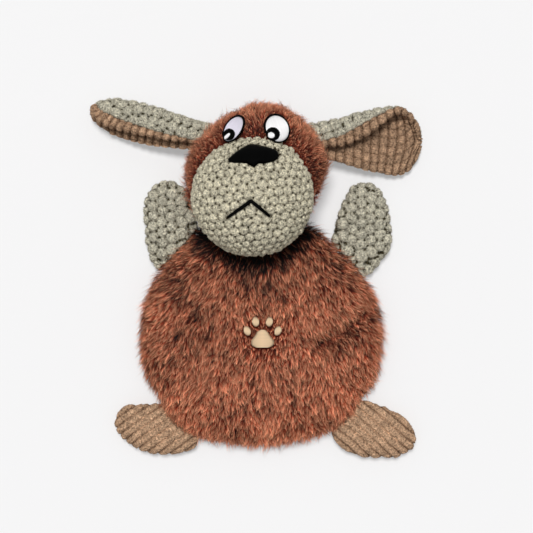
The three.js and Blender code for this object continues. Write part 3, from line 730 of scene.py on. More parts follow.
def satin(outline, angle, pitch, form, lift, puff, rng):
    """Parallel stitches side by side across an outline, on the top of a form."""
    c, s = math.cos(angle), math.sin(angle)
    spin = np.array([[c, -s], [s, c]])
    laid = outline @ spin
    share = np.linspace(0, 1, STITCH_POINTS)
    inner_power, outer_power = STITCH_POWERS
    rounded = (1 - abs(2 * share - 1) ** inner_power) ** outer_power
    half_width = np.full(STITCH_POINTS, pitch * STITCH_WIDTH_SHARE)
    half_height = np.full(STITCH_POINTS, pitch * STITCH_HEIGHT_SHARE)
    across = np.tile([-s, c, 0.0], (STITCH_POINTS, 1))
    tubes = []
    for level in np.arange(laid[:, 1].min() + pitch / 2, laid[:, 1].max(), pitch):
        crossings = []
        for (x0, y0), (x1, y1) in zip(laid, np.roll(laid, -1, axis=0)):
            if (y0 > level) != (y1 > level):
                crossings.append(x0 + (x1 - x0) * (level - y0) / (y1 - y0))
        crossings.sort()
        for start, stop in zip(crossings[0::2], crossings[1::2]):
            start -= rng.uniform(0, STITCH_UNEVEN)
            stop += rng.uniform(0, STITCH_UNEVEN)
            spots = np.stack([start + (stop - start) * share, np.full(STITCH_POINTS, level)], axis=1)
            plan = spots @ spin.T
            z = form.top(plan) + lift + puff * rounded
            path = np.concatenate([plan, z[:, None]], axis=1)
            along = unit(np.gradient(path, axis=0))
            up = np.cross(along, across)
            up *= np.sign(up[:, 2:3] + SMALL)
            tubes.append(tube(path, across, up, half_width, half_height))
    return tubes


def oval(centre, width, length, degrees, count=48):
    angle = np.linspace(0, 2 * math.pi, count, endpoint=False)
    upright = np.stack([width / 2 * np.cos(angle), length / 2 * np.sin(angle)], axis=1)
    return spun(upright, math.radians(degrees)) + np.array(centre)


def line_thread(plan, form, lift, half_width, half_height):
    """A thread laid along a plan line on the top of a form."""
    path = np.concatenate([plan, (form.top(plan) + lift)[:, None]], axis=1)
    along = unit(np.gradient(path, axis=0))
    across = unit(np.cross(np.tile([0.0, 0.0, 1.0], (len(path), 1)), along))
    up = np.cross(along, across)
    return tube(path, across, up, half_width, np.full(len(path), half_height))


# Materials

# Distance between two nodes that follow each other in the shader editor
NODE_STEP = 200


def node(tree, kind, place, inputs=None, **values):
    """A shader node with its inputs, each a number or colour or the output that it is linked to."""
    made = tree.nodes.new(kind)
    made.location = place
    for key, value in values.items():
        setattr(made, key, value)
    for key, value in (inputs or {}).items():
        if isinstance(value, bpy.types.NodeSocket):
            tree.links.new(value, made.inputs[key])
        else:
            made.inputs[key].default_value = value
    return made


def attribute(tree, place, name):
    return node(tree, "ShaderNodeAttribute", place, attribute_name=name).outputs["Fac"]


def calculated(tree, place, operation, *numbers, **values):
    made = node(tree, "ShaderNodeMath", place, dict(enumerate(numbers)), operation=operation, **values)
    return made.outputs["Value"]


def ranged(tree, place, value, **limits):
    """A value moved from one range to another. The limits are named as on the node, such as from_min."""
    inputs = {key.replace("_", " ").title(): limit for key, limit in limits.items()}
    return node(tree, "ShaderNodeMapRange", place, {"Value": value, **inputs}).outputs["Result"]


def mixed(tree, place, share, first, second):
    inputs = {"Factor": share, "A": first, "B": second}
    return node(tree, "ShaderNodeMix", place, inputs, data_type="RGBA").outputs["Result"]


def brightened(tree, place, colour, gain):
    made = node(tree, "ShaderNodeVectorMath", place, {0: colour, "Scale": gain}, operation="SCALE")
    return made.outputs["Vector"]


def gain_from(tree, place, value, amount):
    """1 where a value is 0.5, and more or less by an amount where it is higher or lower."""
    away = calculated(tree, place, "SUBTRACT", value, 0.5)
    return calculated(tree, (place[0] + NODE_STEP, place[1]), "MULTIPLY_ADD", away, amount, 1.0)


def strand_colour(group, start):
    """Hair or thread colour from root to tip, varied by the shade of each strand."""
    along = attribute(group, (-900, 300), "along")
    shade = attribute(group, (-900, -300), "shade")
    low = ranged(group, (-650, 300), along, from_max=0.5)
    high = ranged(group, (-650, 50), along, from_min=0.45)
    lower = mixed(group, (-350, 200), low, start["Root"], start["Middle"])
    whole = mixed(group, (-100, 100), high, lower, start["Tip"])
    gain = gain_from(group, (-350, -200), shade, start["Vary"])
    return {"Color": brightened(group, (300, 50), whole, gain)}


def yarn(group, start):
    """Chenille yarn: colour between gap and top by depth, where the gap colour is painted shade, with the
    flecks and twists of the yarn.
    """
    place = node(group, "ShaderNodeTexCoord", (-1100, -300)).outputs["Object"]
    depth = attribute(group, (-1100, 400), "depth")
    shade = attribute(group, (-1100, 200), "shade")
    scaled = {"Vector": place, "Scale": start["Fleck Scale"]}
    twisted = {**scaled, "Detail": 3.0, "Roughness": 0.65, "Distortion": 0.8}
    twist = node(group, "ShaderNodeTexNoise", (-800, -150), twisted, noise_dimensions="3D").outputs["Fac"]
    loops = node(group, "ShaderNodeTexVoronoi", (-800, -450), scaled, feature="F1").outputs["Distance"]
    flecks = ranged(group, (-550, -150), twist, from_min=0.38, from_max=0.62)
    raised = ranged(group, (-550, 400), depth, from_min=0.1, from_max=0.9)
    fleck_gain = gain_from(group, (-300, -100), flecks, start["Fleck"])
    tone_gain = gain_from(group, (-300, -300), shade, start["Vary"])
    gain = calculated(group, (120, -150), "MULTIPLY", fleck_gain, tone_gain)
    cloth = mixed(group, (-250, 250), raised, start["Gap"], start["Top"])
    return {
        "Color": brightened(group, (400, 150), cloth, gain),
        "Height": calculated(group, (120, -450), "SUBTRACT", twist, loops),
        "Roughness": ranged(group, (400, -300), twist, to_min=0.8, to_max=1.0),
    }


def moulded_grain(group, start):
    """Fine mottling for moulded plastic, metal and the tabletop."""
    place = node(group, "ShaderNodeTexCoord", (-800, -300)).outputs["Object"]
    scaled = {"Vector": place, "Scale": start["Scale"]}
    grain = node(group, "ShaderNodeTexNoise", (-550, -150), scaled).outputs["Fac"]
    gain = gain_from(group, (-300, -50), grain, start["Vary"])
    return {
        "Color": brightened(group, (150, 100), start["Base"], gain),
        "Height": grain,
        "Roughness": ranged(group, (150, -250), grain, to_min=0.3, to_max=0.5),
    }


# What fills each shared group, and its inputs: a colour where there is None, or else a number
GROUPS = {
    "Strand Colour": (strand_colour, {"Root": None, "Middle": None, "Tip": None, "Vary": 0.4}),
    "Yarn": (yarn, {"Top": None, "Gap": None, "Fleck Scale": 900.0, "Fleck": 0.5, "Vary": 0.25}),
    "Moulded Grain": (moulded_grain, {"Base": None, "Scale": 400.0, "Vary": 0.1}),
}


def shared_group(name):
    if name in bpy.data.node_groups:
        return bpy.data.node_groups[name]
    fill, inputs = GROUPS[name]
    group = bpy.data.node_groups.new(name, "ShaderNodeTree")
    for key, value in inputs.items():
        kind = "NodeSocketColor" if value is None else "NodeSocketFloat"
        socket = group.interface.new_socket(name=key, in_out="INPUT", socket_type=kind)
        if value is not None:
            socket.default_value = value
    results = fill(group, node(group, "NodeGroupInput", (-1300, 0)).outputs)
    for key in results:
        kind = "NodeSocketColor" if key == "Color" else "NodeSocketFloat"
        group.interface.new_socket(name=key, in_out="OUTPUT", socket_type=kind)
    node(group, "NodeGroupOutput", (700, 0), results)
    return group


def rgba(colour, gain=1.0):
    return (*[part * gain for part in colour], 1.0)


def shared_material(name, group_name, values, shading, bump=None):
    """The material of that name: a shared group and its values ahead of a Principled shader.

    bump is how strong and how deep the group's height looks."""
    if name in bpy.data.materials:
        return bpy.data.materials[name]
    material = bpy.data.materials.new(name)
    material.use_nodes = True
    tree = material.node_tree
    shader = tree.nodes["Principled BSDF"]
    source = node(tree, "ShaderNodeGroup", (-500, 200), values, node_tree=shared_group(group_name)).outputs
    tree.links.new(source["Color"], shader.inputs["Base Color"])
    if "Roughness" not in shading:
        tree.links.new(source["Roughness"], shader.inputs["Roughness"])
    for key, value in shading.items():
        shader.inputs[key].default_value = value
    if bump is not None:
        strength, distance = bump
        bumps = {"Strength": strength, "Distance": distance, "Height": source["Height"]}
        bumped = node(tree, "ShaderNodeBump", (-250, -200), bumps)
        tree.links.new(bumped.outputs["Normal"], shader.inputs["Normal"])
    return material


def seen_directly(tree):
    """1 for what the camera sees, straight or in metal and glass, and 0 for what only gives light."""
    rays = node(tree, "ShaderNodeLightPath", (-1300, -200)).outputs
    mirrored = calculated(tree, (-1100, -300), "ADD", rays["Is Glossy Ray"], rays["Is Transmission Ray"])
    return calculated(tree, (-900, -200), "ADD", rays["Is Camera Ray"], mirrored, use_clamp=True)


def glow_for_camera(material, share):
    """The camera sees that share of a backdrop's colour as its own glow, so shadows on it look paler."""
    tree = material.node_tree
    shader = tree.nodes["Principled BSDF"]
    colour = shader.inputs["Base Color"].links[0].from_socket
    seen = seen_directly(tree)
    lit = calculated(tree, (-650, -200), "MULTIPLY_ADD", seen, -share, 1.0)
    own = calculated(tree, (-650, -400), "MULTIPLY", seen, share)
    tree.links.new(brightened(tree, (-250, 200), colour, lit), shader.inputs["Base Color"])
    tree.links.new(brightened(tree, (-250, -100), colour, own), shader.inputs["Emission Color"])
    shader.inputs["Emission Strength"].default_value = 1.0


def strand_material(name, colour, gains, vary, shading):
    """Hairs or threads of one colour, with its gains at the root, middle and tip."""
    ends = dict(zip(("Root", "Middle", "Tip"), (rgba(colour, gain) for gain in gains)))
    return shared_material(name, "Strand Colour", {**ends, "Vary": vary}, shading)


def fur_material():
    _, colours = settings()
    values = {
        "Root": rgba(colours.fur_root), "Middle": rgba(colours.fur_middle), "Tip": rgba(colours.fur_tip),
        "Vary": 2.0,
    }
    shading = {"Roughness": 0.62, "Specular IOR Level": 0.12, "Sheen Weight": 0.02}
    return shared_material("russet_fur", "Strand Colour", values, shading)


def thread_material(name, colour, roughness, vary):
    shading = {"Roughness": roughness, "Specular IOR Level": 0.03, "Anisotropic": 0.4}
    return strand_material(name, colour, (0.8, 1.0, 0.85), vary, shading)


def nap_material(name, colour):
    """The loose ends of the yarn that stand off a cloth."""
    shading = {"Roughness": 0.9, "Specular IOR Level": 0.02}
    return strand_material(name, colour, (0.62, 1.0, 1.12), 1.2, shading)


def cloth_material(name, top, gap, fleck_scale, fleck, bump):
    # gap is the colour that low depth turns the cloth to, a painted shade
    values = {"Top": rgba(top), "Gap": rgba(gap), "Fleck Scale": fleck_scale, "Fleck": fleck}
    shading = {"Sheen Weight": 0.02, "Specular IOR Level": 0.03}
    return shared_material(name, "Yarn", values, shading, (0.8, bump))


# Share of the tabletop's brightness that shadows leave, and how bright the world is as a light and as seen
FLOOR_GLOW_SHARE = 0.3
WORLD_LIGHT = 0.32
WORLD_SEEN = 0.93


# Fur

# Shares of the hairs and of their clumps given a lighter shade, partly paler hair and partly painted
# highlight
LIGHT_HAIR_SHARE = 0.14
LIGHT_CLUMP_SHARE = 0.26

# How densely the hairs stand in the middle of a skin and at its rim, as shares of the setting
MIDDLE_DENSITY = 0.88
RIM_DENSITY = 1.5

# Where the hairs get denser, the combed way turns out and the hairs stand up, in metres from the rim
RIM_DENSE_FROM = 0.014
RIM_DENSE_TO = 0.004
RIM_TURN_REACH = 0.022
RIM_REACH = 0.012

# Hairs at a rim: the share of long ones, how much longer these and how much shorter the others are,
# and how steeply each half of a hair stands there, in degrees
LONG_HAIR_SHARE = 0.3
LONG_HAIR_MORE = 0.5
SHORT_HAIR_MORE = -0.12
RIM_LIFT = (66, 34)

# Waves in the combed way, in the hairs' length and in their shade: strength and wavelength in metres. The
# waves in shade are broad lighter and darker bands, partly uneven tone and partly painted sheen of the fur's
# lay
SWIRL_WAVES = ((0.34, 0.019), (0.26, 0.007))
LENGTH_WAVES = ((0.14, 0.02),)
SHADE_WAVES = ((0.09, 0.035), (0.08, 0.009))

# Each hair: the spread of its length, of how steeply its halves stand in degrees, of its roll and of its
# width, the share of its length in each half, how far its root is sunk and how low its middle and tip
# may lie in metres, and how softly it takes the light
HAIR_LENGTHS = (0.7, 1.15)
LIFT_SPREADS = (7, 9)
ROLL_SPREAD = 0.5
WIDTHS = (0.7, 1.3)
HAIR_HALVES = (0.45, 0.55)
ROOT_SUNK = 0.0004
MIDDLE_LOWEST = 0.0004
TIP_LOWEST = 0.0002
FUR_SOFTNESS = 0.55

# Clumps: the fewest, how far their tips and middles draw together, and how much clumps and hairs bend
LEAST_CLUMPS = 8
TIP_DRAW = 0.68
MIDDLE_DRAW = 0.4
CLUMP_BEND = 0.09
HAIR_BEND = 0.05

# Shades: the middle one, their spread from clump to clump and from hair to hair, what a light clump, a
# dark clump, the rim's painted highlight and a light hair add, and the width of a light hair as a share. The
# lighter shade of light clumps and hairs is partly paler hair and partly painted highlight
SHADE_MIDDLE = 0.44
CLUMP_SHADE_SPREAD = 0.13
HAIR_SHADE_SPREAD = 0.12
LIGHT_CLUMP_SHADE = 0.40
DARK_CLUMP_SHADE = -0.11
# The rim's added shade is a painted highlight on the hairs of the outline
RIM_PAINTED_HIGHLIGHT = 0.14
LIGHT_HAIR_SHADES = (0.2, 0.45)
LIGHT_HAIR_WIDTH = 0.85


def summed_waves(points, table, seed, count=12):
    """Waves of several strengths and wavelengths, from seeds that follow each other."""
    parts = [
        share * waves(points, length, seed + number, count)
        for number, (share, length) in enumerate(table)
    ]
    return sum(parts)


def combed(skin, plan_source, rim_turn):
    """The way the fur lies at each point of a skin: away from a source, and outward at the rim."""
    away = skin["points"][:, :2] - np.array(plan_source)
    flow = unit(away)
    outward = unit(skin["normals"][:, :2])
    weight = rim_turn * smooth_share(-skin["to_rim"], -RIM_TURN_REACH, 0.0)[:, None]
    return unit(flow * (1 - weight) + outward * weight)


def no_shade(roots):
    return np.zeros(len(roots))


def full_length(roots):
    return np.ones(len(roots))


def make_fur(name, body, skin, faces_of, combing, length, seed, keep, clump_gap, lift, shorter=full_length,
             density_share=1.0, painted_shade=no_shade, mess=0.16):
    """Fur on part of a skin, in wavy clumps that lean the way it is combed."""
    sizes, _ = settings()
    rng = np.random.default_rng(seed)
    points, quads = skin["points"], skin["quads"][faces_of]
    area = face_areas(points, quads).sum()
    density = sizes.fur_per_area * PER_SQUARE_METRE * density_share * RIM_DENSITY
    width = sizes.fur_width
    faces, place = scattered(points, quads, int(area * density), rng)
    roots = in_faces(points, quads, faces, place)
    to_rim = in_faces(skin["to_rim"], quads, faces, place)
    near_rim = smooth_share(-to_rim, -RIM_DENSE_FROM, -RIM_DENSE_TO)
    dense = MIDDLE_DENSITY + (RIM_DENSITY - MIDDLE_DENSITY) * near_rim
    good = keep(roots) & (rng.uniform(0, RIM_DENSITY, len(roots)) < dense)
    faces, place, roots, to_rim = faces[good], place[good], roots[good], to_rim[good]
    count = len(roots)
    normals = unit(in_faces(skin["normals"], quads, faces, place))
    flow = in_faces(combed(skin, *combing), quads, faces, place)
    swirl = summed_waves(roots, SWIRL_WAVES, seed + 1)
    swirl += rng.normal(0, mess, count)
    c, s = np.cos(swirl), np.sin(swirl)
    turned = [flow[:, 0] * c - flow[:, 1] * s, flow[:, 0] * s + flow[:, 1] * c, np.zeros(count)]
    flow = np.stack(turned, axis=1)
    flow = unit(flow - normals * (flow * normals).sum(axis=1, keepdims=True))
    size = length * rng.uniform(*HAIR_LENGTHS, count) * (1 + summed_waves(roots, LENGTH_WAVES, seed + 3))
    size = size * shorter(roots)
    rim = smooth_share(-to_rim, -RIM_REACH, 0.0)
    long = rng.uniform(0, 1, count) < LONG_HAIR_SHARE
    size = size * (1 + rim * np.where(long, LONG_HAIR_MORE, SHORT_HAIR_MORE))
    halves = []
    for flat, at_rim, spread, share in zip(lift, RIM_LIFT, LIFT_SPREADS, HAIR_HALVES):
        angle = np.radians(flat + (at_rim - flat) * rim + rng.normal(0, spread, count))[:, None]
        halves.append((flow * np.cos(angle) + normals * np.sin(angle)) * (size * share)[:, None])
    middles = roots + halves[0]
    tips = middles + halves[1]

    # Hairs near each other draw together at their tips and bend the same way
    leaders = rng.permutation(count)[:max(LEAST_CLUMPS, int(area / clump_gap ** 2))]
    tree_of = clump_tree(roots[leaders])
    which = np.array([tree_of.find(spot)[1] for spot in roots])
    tips = tips + (tips[leaders][which] - tips) * TIP_DRAW
    middles = middles + (middles[leaders][which] - middles) * MIDDLE_DRAW
    bend = CLUMP_BEND * rng.normal(0, 1, len(leaders))[which] + HAIR_BEND * rng.normal(0, 1, count)
    middles += np.cross(normals, flow) * (size * bend)[:, None]
    middles[:, 2] = np.maximum(middles[:, 2], MIDDLE_LOWEST)
    tips[:, 2] = np.maximum(tips[:, 2], TIP_LOWEST)

    axis = unit(tips - roots)
    sideways = unit(np.cross(axis, normals))
    roll = rng.normal(0, ROLL_SPREAD, count)[:, None]
    sideways = unit(sideways * np.cos(roll) + np.cross(axis, sideways) * np.sin(roll))
    # Light clumps and hairs: partly paler hair, partly painted highlight
    clump_shade = rng.normal(0, CLUMP_SHADE_SPREAD, len(leaders))
    light_clumps = rng.uniform(0, 1, len(leaders)) < LIGHT_CLUMP_SHARE
    clump_shade += np.where(light_clumps, LIGHT_CLUMP_SHADE, DARK_CLUMP_SHADE)
    # Broad bands of shade: partly uneven tone, partly painted sheen of the fur's lay
    broad = summed_waves(roots, SHADE_WAVES, seed + 4)
    shades = SHADE_MIDDLE + clump_shade[which] + broad + rng.normal(0, HAIR_SHADE_SPREAD, count)
    # Hairs at the rim get a painted highlight, and the darkening taken off here is painted shade
    shades = shades + RIM_PAINTED_HIGHLIGHT * rim - painted_shade(roots)
    light = rng.uniform(0, 1, count) < LIGHT_HAIR_SHARE
    shades += np.where(light, rng.uniform(*LIGHT_HAIR_SHADES, count), 0)
    widths = width * rng.uniform(*WIDTHS, count) * np.where(light, LIGHT_HAIR_WIDTH, 1.0)
    sunk = roots - normals * ROOT_SUNK
    shades = np.clip(shades, 0, 1)
    piece = blades(name, fur_material(), sunk, middles, tips, widths, sideways, normals, shades, FUR_SOFTNESS)
    attach(piece, body, "fur")


def clump_tree(spots):
    tree = KDTree(len(spots))
    for number, spot in enumerate(spots):
        tree.insert(spot, number)
    tree.balance()
    return tree


# Folds in the front of the body: where each starts and ends, as shares of its half width and half
# length, then its depth and half width in metres. They fade over the reach from the rim
BODY_FOLDS = [
    ((0.48, -0.05), (0.89, 0.25), 0.0042, 0.005),
    ((-0.59, 0.27), (-0.41, 0.03), 0.0024, 0.005),
    ((-0.11, 0.46), (0.09, 0.34), 0.0024, 0.008),
    ((0.20, -0.90), (0.23, -0.76), 0.0024, 0.005),
]
FOLD_FADE_REACH = 0.014

# Painted shade on the fur of the body, where it lies pressed in folds and hollows and under the chin: start
# and end as shares of its half sizes, then how much darker the painted shade makes it and half how wide in
# metres
BODY_PAINTED_SHADE = [
    ((0.47, -0.06), (0.90, 0.26), 0.26, 0.0062),
    ((0.62, -0.10), (0.80, 0.02), 0.12, 0.0060),
    ((-0.70, 0.57), (-0.47, 0.00), 0.15, 0.0065),
    ((-0.94, 0.16), (-0.90, -0.02), 0.16, 0.0070),
    ((-0.15, 0.50), (0.09, 0.42), 0.22, 0.0100),
    ((0.20, -0.90), (0.23, -0.76), 0.14, 0.0050),
    ((-0.38, 0.80), (0.56, 0.82), 0.22, 0.0230),
    ((-0.82, 0.36), (-0.62, -0.12), 0.15, 0.0120),
]

# Painted shadow under the chin, a darker tone all over the head and painted shade beside the muzzle: how much
# darker each makes the fur, and how far the chin's shadow and the muzzle's shade reach in metres
CHIN_PAINTED_SHADOW = 0.62
CHIN_SHADOW_REACH = 0.015
HEAD_SHADE = 0.05
MUZZLE_SIDE_PAINTED_SHADE = 0.16
MUZZLE_SIDE_REACH = 0.014


def pressed(plan, lines):
    """What lines across the body add up to at plan points, each fading out to its sides."""
    total = np.zeros(len(plan))
    for start, end, depth, width in lines:
        start, end = np.array(start) * BODY.half, np.array(end) * BODY.half
        line = end - start
        share = np.clip(((plan - start) @ line) / (line @ line), 0, 1)
        away = np.linalg.norm(plan - start - share[:, None] * line, axis=1)
        total += depth * np.exp(-(away / width) ** 2)
    return total


def past_muzzle(points):
    """How far points lie outside the muzzle's outline, in metres."""
    return (MUZZLE.share_at(points[:, :2]) - 1) * MUZZLE.half.mean()


def painted_body_shade(roots):
    """Painted shade: how much darker each hair of the body is made in its hollows, with painted shadow under
    the chin.
    """
    chin_shadow = 1 - smooth_share(past_muzzle(roots), 0, CHIN_SHADOW_REACH)
    return pressed(roots[:, :2], BODY_PAINTED_SHADE) + CHIN_PAINTED_SHADOW * chin_shadow


# A darker tone all over the head, and painted shade on the fur beside the muzzle, which stands above it
def head_tone_and_painted_shade(roots):
    return HEAD_SHADE + MUZZLE_SIDE_PAINTED_SHADE * (1 - smooth_share(past_muzzle(roots), 0, MUZZLE_SIDE_REACH))


def folded_in(skin):
    """Presses the folds into the upper side of the body's skin."""
    plan = skin["points"][:, :2]
    to_rim = (1 - np.linalg.norm(plan / BODY.half, axis=1)) * BODY.half[1]
    sink = pressed(plan, BODY_FOLDS) * smooth_share(to_rim, 0, FOLD_FADE_REACH)
    skin["points"][:, 2] -= sink * skin["upper"]
    skin["normals"] = vertex_normals(skin["points"], skin["quads"])


# Stitched paw on the belly: its middle, the reach of its pad, the pad's lobes and how far they stand
# out, the pad's width as a share, and each toe's angle, distance and lean, then the toes' size
PAW_AT = np.array([0.0005, -0.001])
PAD_REACH = 0.0062
PAD_LOBES = 3
PAD_LOBE_SHARE = 0.16
PAD_WIDTH_SHARE = 1.18
PAD_POINTS = 40
TOES = ((150, 0.0125, 24), (111, 0.0135, 8), (69, 0.0135, -8), (30, 0.0125, -24))
TOE_SIZE = (0.0046, 0.0066)
TOE_POINTS = 28


def paw_outlines():
    """The pad and the four toes of a paw, in plan."""
    angle = np.linspace(0, 2 * math.pi, PAD_POINTS, endpoint=False)
    reach = PAD_REACH * (1 + PAD_LOBE_SHARE * np.cos(PAD_LOBES * (angle - math.pi / 2)))
    outlines = [np.stack([reach * np.cos(angle) * PAD_WIDTH_SHARE, reach * np.sin(angle)], axis=1) + PAW_AT]
    for degrees, away, lean in TOES:
        spot = PAW_AT + away * np.array([math.cos(math.radians(degrees)), math.sin(math.radians(degrees))])
        outlines.append(oval(spot, *TOE_SIZE, lean, TOE_POINTS))
    return outlines


# Face outlines

NOSE_AT = np.array([-0.0055, 0.1255])
NOSE_SHARES = np.array([
    (1, 0.03), (0.97, 0.3), (0.85, 0.52), (0.62, 0.68), (0.28, 0.84), (0.08, 0.95), (-0.11, 1), (-0.26, 0.88),
    (-0.4, 0.7), (-0.65, 0.36), (-0.85, -0.02), (-1, -0.32), (-0.93, -0.54), (-0.78, -0.62), (-0.5, -0.62),
    (-0.26, -0.67), (-0.1, -0.86), (0.02, -1), (0.1, -0.86), (0.2, -0.69), (0.53, -0.64),
    (0.8, -0.5), (0.94, -0.26),
])
NOSE_HALF = np.array([0.017, 0.008])
EYES = {
    "left": {
        "at": (-0.0194, 0.1453), "size": (0.0118, 0.0206), "lean": -30,
        "pupil": 0.0080, "glint_at": (-0.0014, -0.0014), "glint": (0.0022, 0.0052), "glint_lean": -46,
    },
    "right": {
        "at": (0.0106, 0.1453), "size": (0.0164, 0.0204), "lean": 20,
        "pupil": 0.0092, "glint_at": (-0.0012, -0.0011), "glint": (0.0046, 0.0040), "glint_lean": -20,
    },
}
PUPIL_SHIFT = np.array([-0.0029, -0.0042])
MOUTH_CORNERS = np.array([(-0.0228, 0.0836), (-0.0070, 0.0945), (0.0059, 0.0840)])
MOUTH_POINTS = 14


def nose_outline():
    return NOSE_AT + NOSE_SHARES * NOSE_HALF


def mouth_line():
    """The stitched mouth: up from its left end to its middle, then down to its right end."""
    left, top, right = MOUTH_CORNERS
    share = np.linspace(0, 1, MOUTH_POINTS)[:, None]
    return np.concatenate([left + (top - left) * share, top + (right - top) * share[1:]])


def eye_outline(eye):
    return oval(eye["at"], *eye["size"], eye["lean"])


# Cloths

# Each cloth's material, slot, flecks and bump, and the material and sizes of its loose yarn ends. The
# names of its colours start with the name of the cloth
CLOTHS = {
    "muzzle": {
        "material": "muzzle_bobbles", "slot": "muzzle_cloth",
        "fleck_scale": 680.0, "fleck": 1.3, "bump": 0.0009,
        "ends": "muzzle_yarn_ends", "end_length": 0.0013, "end_width": 0.00030,
    },
    "bobble": {
        "material": "sage_bobbles", "slot": "bobble_cloth",
        "fleck_scale": 680.0, "fleck": 1.5, "bump": 0.0009,
        "ends": "bobble_yarn_ends", "end_length": 0.0017, "end_width": 0.00030,
    },
    "cord": {
        "material": "tan_cord", "slot": "cord_cloth", "fleck_scale": 760.0, "fleck": 1.2, "bump": 0.0008,
        "ends": "cord_yarn_ends", "end_length": 0.0011, "end_width": 0.00022,
    },
}

# Bobbles: strength and wavelength of the wobble in their borders and of the patches of painted shade in
# their grooves, and the spread of their height. As shares of the pitch: how far in a bobble rounds off, where
# the pinhole between three starts and ends, how far out its dome falls, and the reach of the painted shade in
# its grooves
BOBBLE_WOBBLE = 0.00035
BOBBLE_WOBBLE_LENGTH = 0.004
BOBBLE_PATCH_LENGTH = 0.0035
BOBBLE_HEIGHTS = (0.82, 1.12)
BOBBLE_ROUND_SHARE = 0.36
PINHOLE_SHARES = (0.12, 0.38)
DOME_REACH_SHARE = 0.6
GROOVE_SHARE = 0.13

# How high a bobble's edge is and how much its dome falls, as shares of its height, how much a pinhole
# takes off its edge, how dark the painted shade in pinholes and grooves is, how much of the yarn its foot
# shows, and the spread of the bobbles' shades
BOBBLE_EDGE = 0.2
DOME_FALL = 0.22
PINHOLE_CUT = 0.5
PINHOLE_DEPTH = 0.95
GROOVE_DEPTHS = (0.25, 0.5)
FOOT_YARN = 0.3
BOBBLE_SHADE_SPREAD = 0.2

# Waves of the yarn in bobbles and ribs, in metres, how many each has, and the least share of its depth
# that a calm cloth keeps, so that painted shade darkens it
BOBBLE_YARN_WAVES = ((0.00024, 0.0021), (0.00016, 0.0012))
RIB_YARN_WAVES = ((0.00022, 0.0019), (0.00014, 0.0011))
YARN_COUNT = 16
LEAST_CALM = 0.3


def bobbled(skin, sites, height, pitch, calm, seed):
    """Lifts a skin into round bobbles. calm gives the share of its height that a point keeps."""
    rng = np.random.default_rng(seed)
    points = skin["points"]
    wobble = [waves(points, BOBBLE_WOBBLE_LENGTH, seed + 5 + axis) for axis in range(3)]
    which, gap, border, corner = cells(points + BOBBLE_WOBBLE * np.stack(wobble, axis=1), sites)
    lifted = height * rng.uniform(*BOBBLE_HEIGHTS, len(sites))[which]
    share = np.clip(border / (pitch * BOBBLE_ROUND_SHARE), 0, 1)
    pinhole = 1 - smooth_share(corner, *(pitch * part for part in PINHOLE_SHARES))
    edge = np.sqrt(1 - (1 - share) ** 2) * (1 - PINHOLE_CUT * pinhole)
    fall = DOME_FALL * (gap / (pitch * DOME_REACH_SHARE)) ** 2
    dome = (BOBBLE_EDGE + (1 - BOBBLE_EDGE) * edge) * (1 - fall)
    patchy = 0.5 + 0.5 * np.clip(waves(points, BOBBLE_PATCH_LENGTH, seed + 8), -1, 1)
    shallow, deeper = GROOVE_DEPTHS
    groove = (1 - smooth_share(border, 0, pitch * GROOVE_SHARE)) * (shallow + deeper * patchy)
    yarn_wave = summed_waves(points, BOBBLE_YARN_WAVES, seed + 1, YARN_COUNT)
    amount = (lifted * dome + yarn_wave * (FOOT_YARN + dome)) * calm
    skin["points"] = points + skin["normals"] * amount[:, None]
    # Painted shade: depth falls in grooves, pinholes and calm cloth, and the material turns it to the dark
    # gap colour
    skin["depth"] = (1 - np.maximum(groove, PINHOLE_DEPTH * pinhole)) * np.clip(calm, LEAST_CALM, 1)
    skin["shade"] = np.clip(0.5 + rng.normal(0, BOBBLE_SHADE_SPREAD, len(sites)), 0, 1)[which]
    skin["normals"] = vertex_normals(skin["points"], skin["quads"])


# Ribs: strength and wavelength of the wobble in their run, how far a pillow is out of step with the next
# row's, the powers that round a rib and a pillow, the wavelength and limits of the patches where threads
# show, how far each side of its middle a light thread shows, how much weaker a cross thread is, how much
# less painted shade a stretched groove gets, and how light a thread is
RIB_WOBBLE = 0.0004
RIB_WOBBLE_LENGTH = 0.03
PILLOW_SHIFT_SHARE = 0.25
RIB_POWER = 2.4
PILLOW_POWER = 5
ROUND_POWER = 0.6
THREAD_PATCH_LENGTH = 0.007
THREAD_PATCHES = (-0.5, 0.7)
THREAD_REACH = 0.0006
CROSS_THREAD_SHARE = 0.7
STRETCHED_SHARE = 0.6
THREAD_SHADE = 3.0

# Rates that make the shift and shade of each row and pillow look random
SHIFT_RATE = 12.9898
SHIFT_SCALE = 43758.5453
ROW_SHADE_RATE = 7.13
PILLOW_SHADE_RATE = 3.71


def rounded_ridge(share, power):
    """A ridge across a share from 0 to 1, flat on top and steep at both sides."""
    return np.clip(1 - abs(2 * share - 1) ** power, 0, 1) ** ROUND_POWER


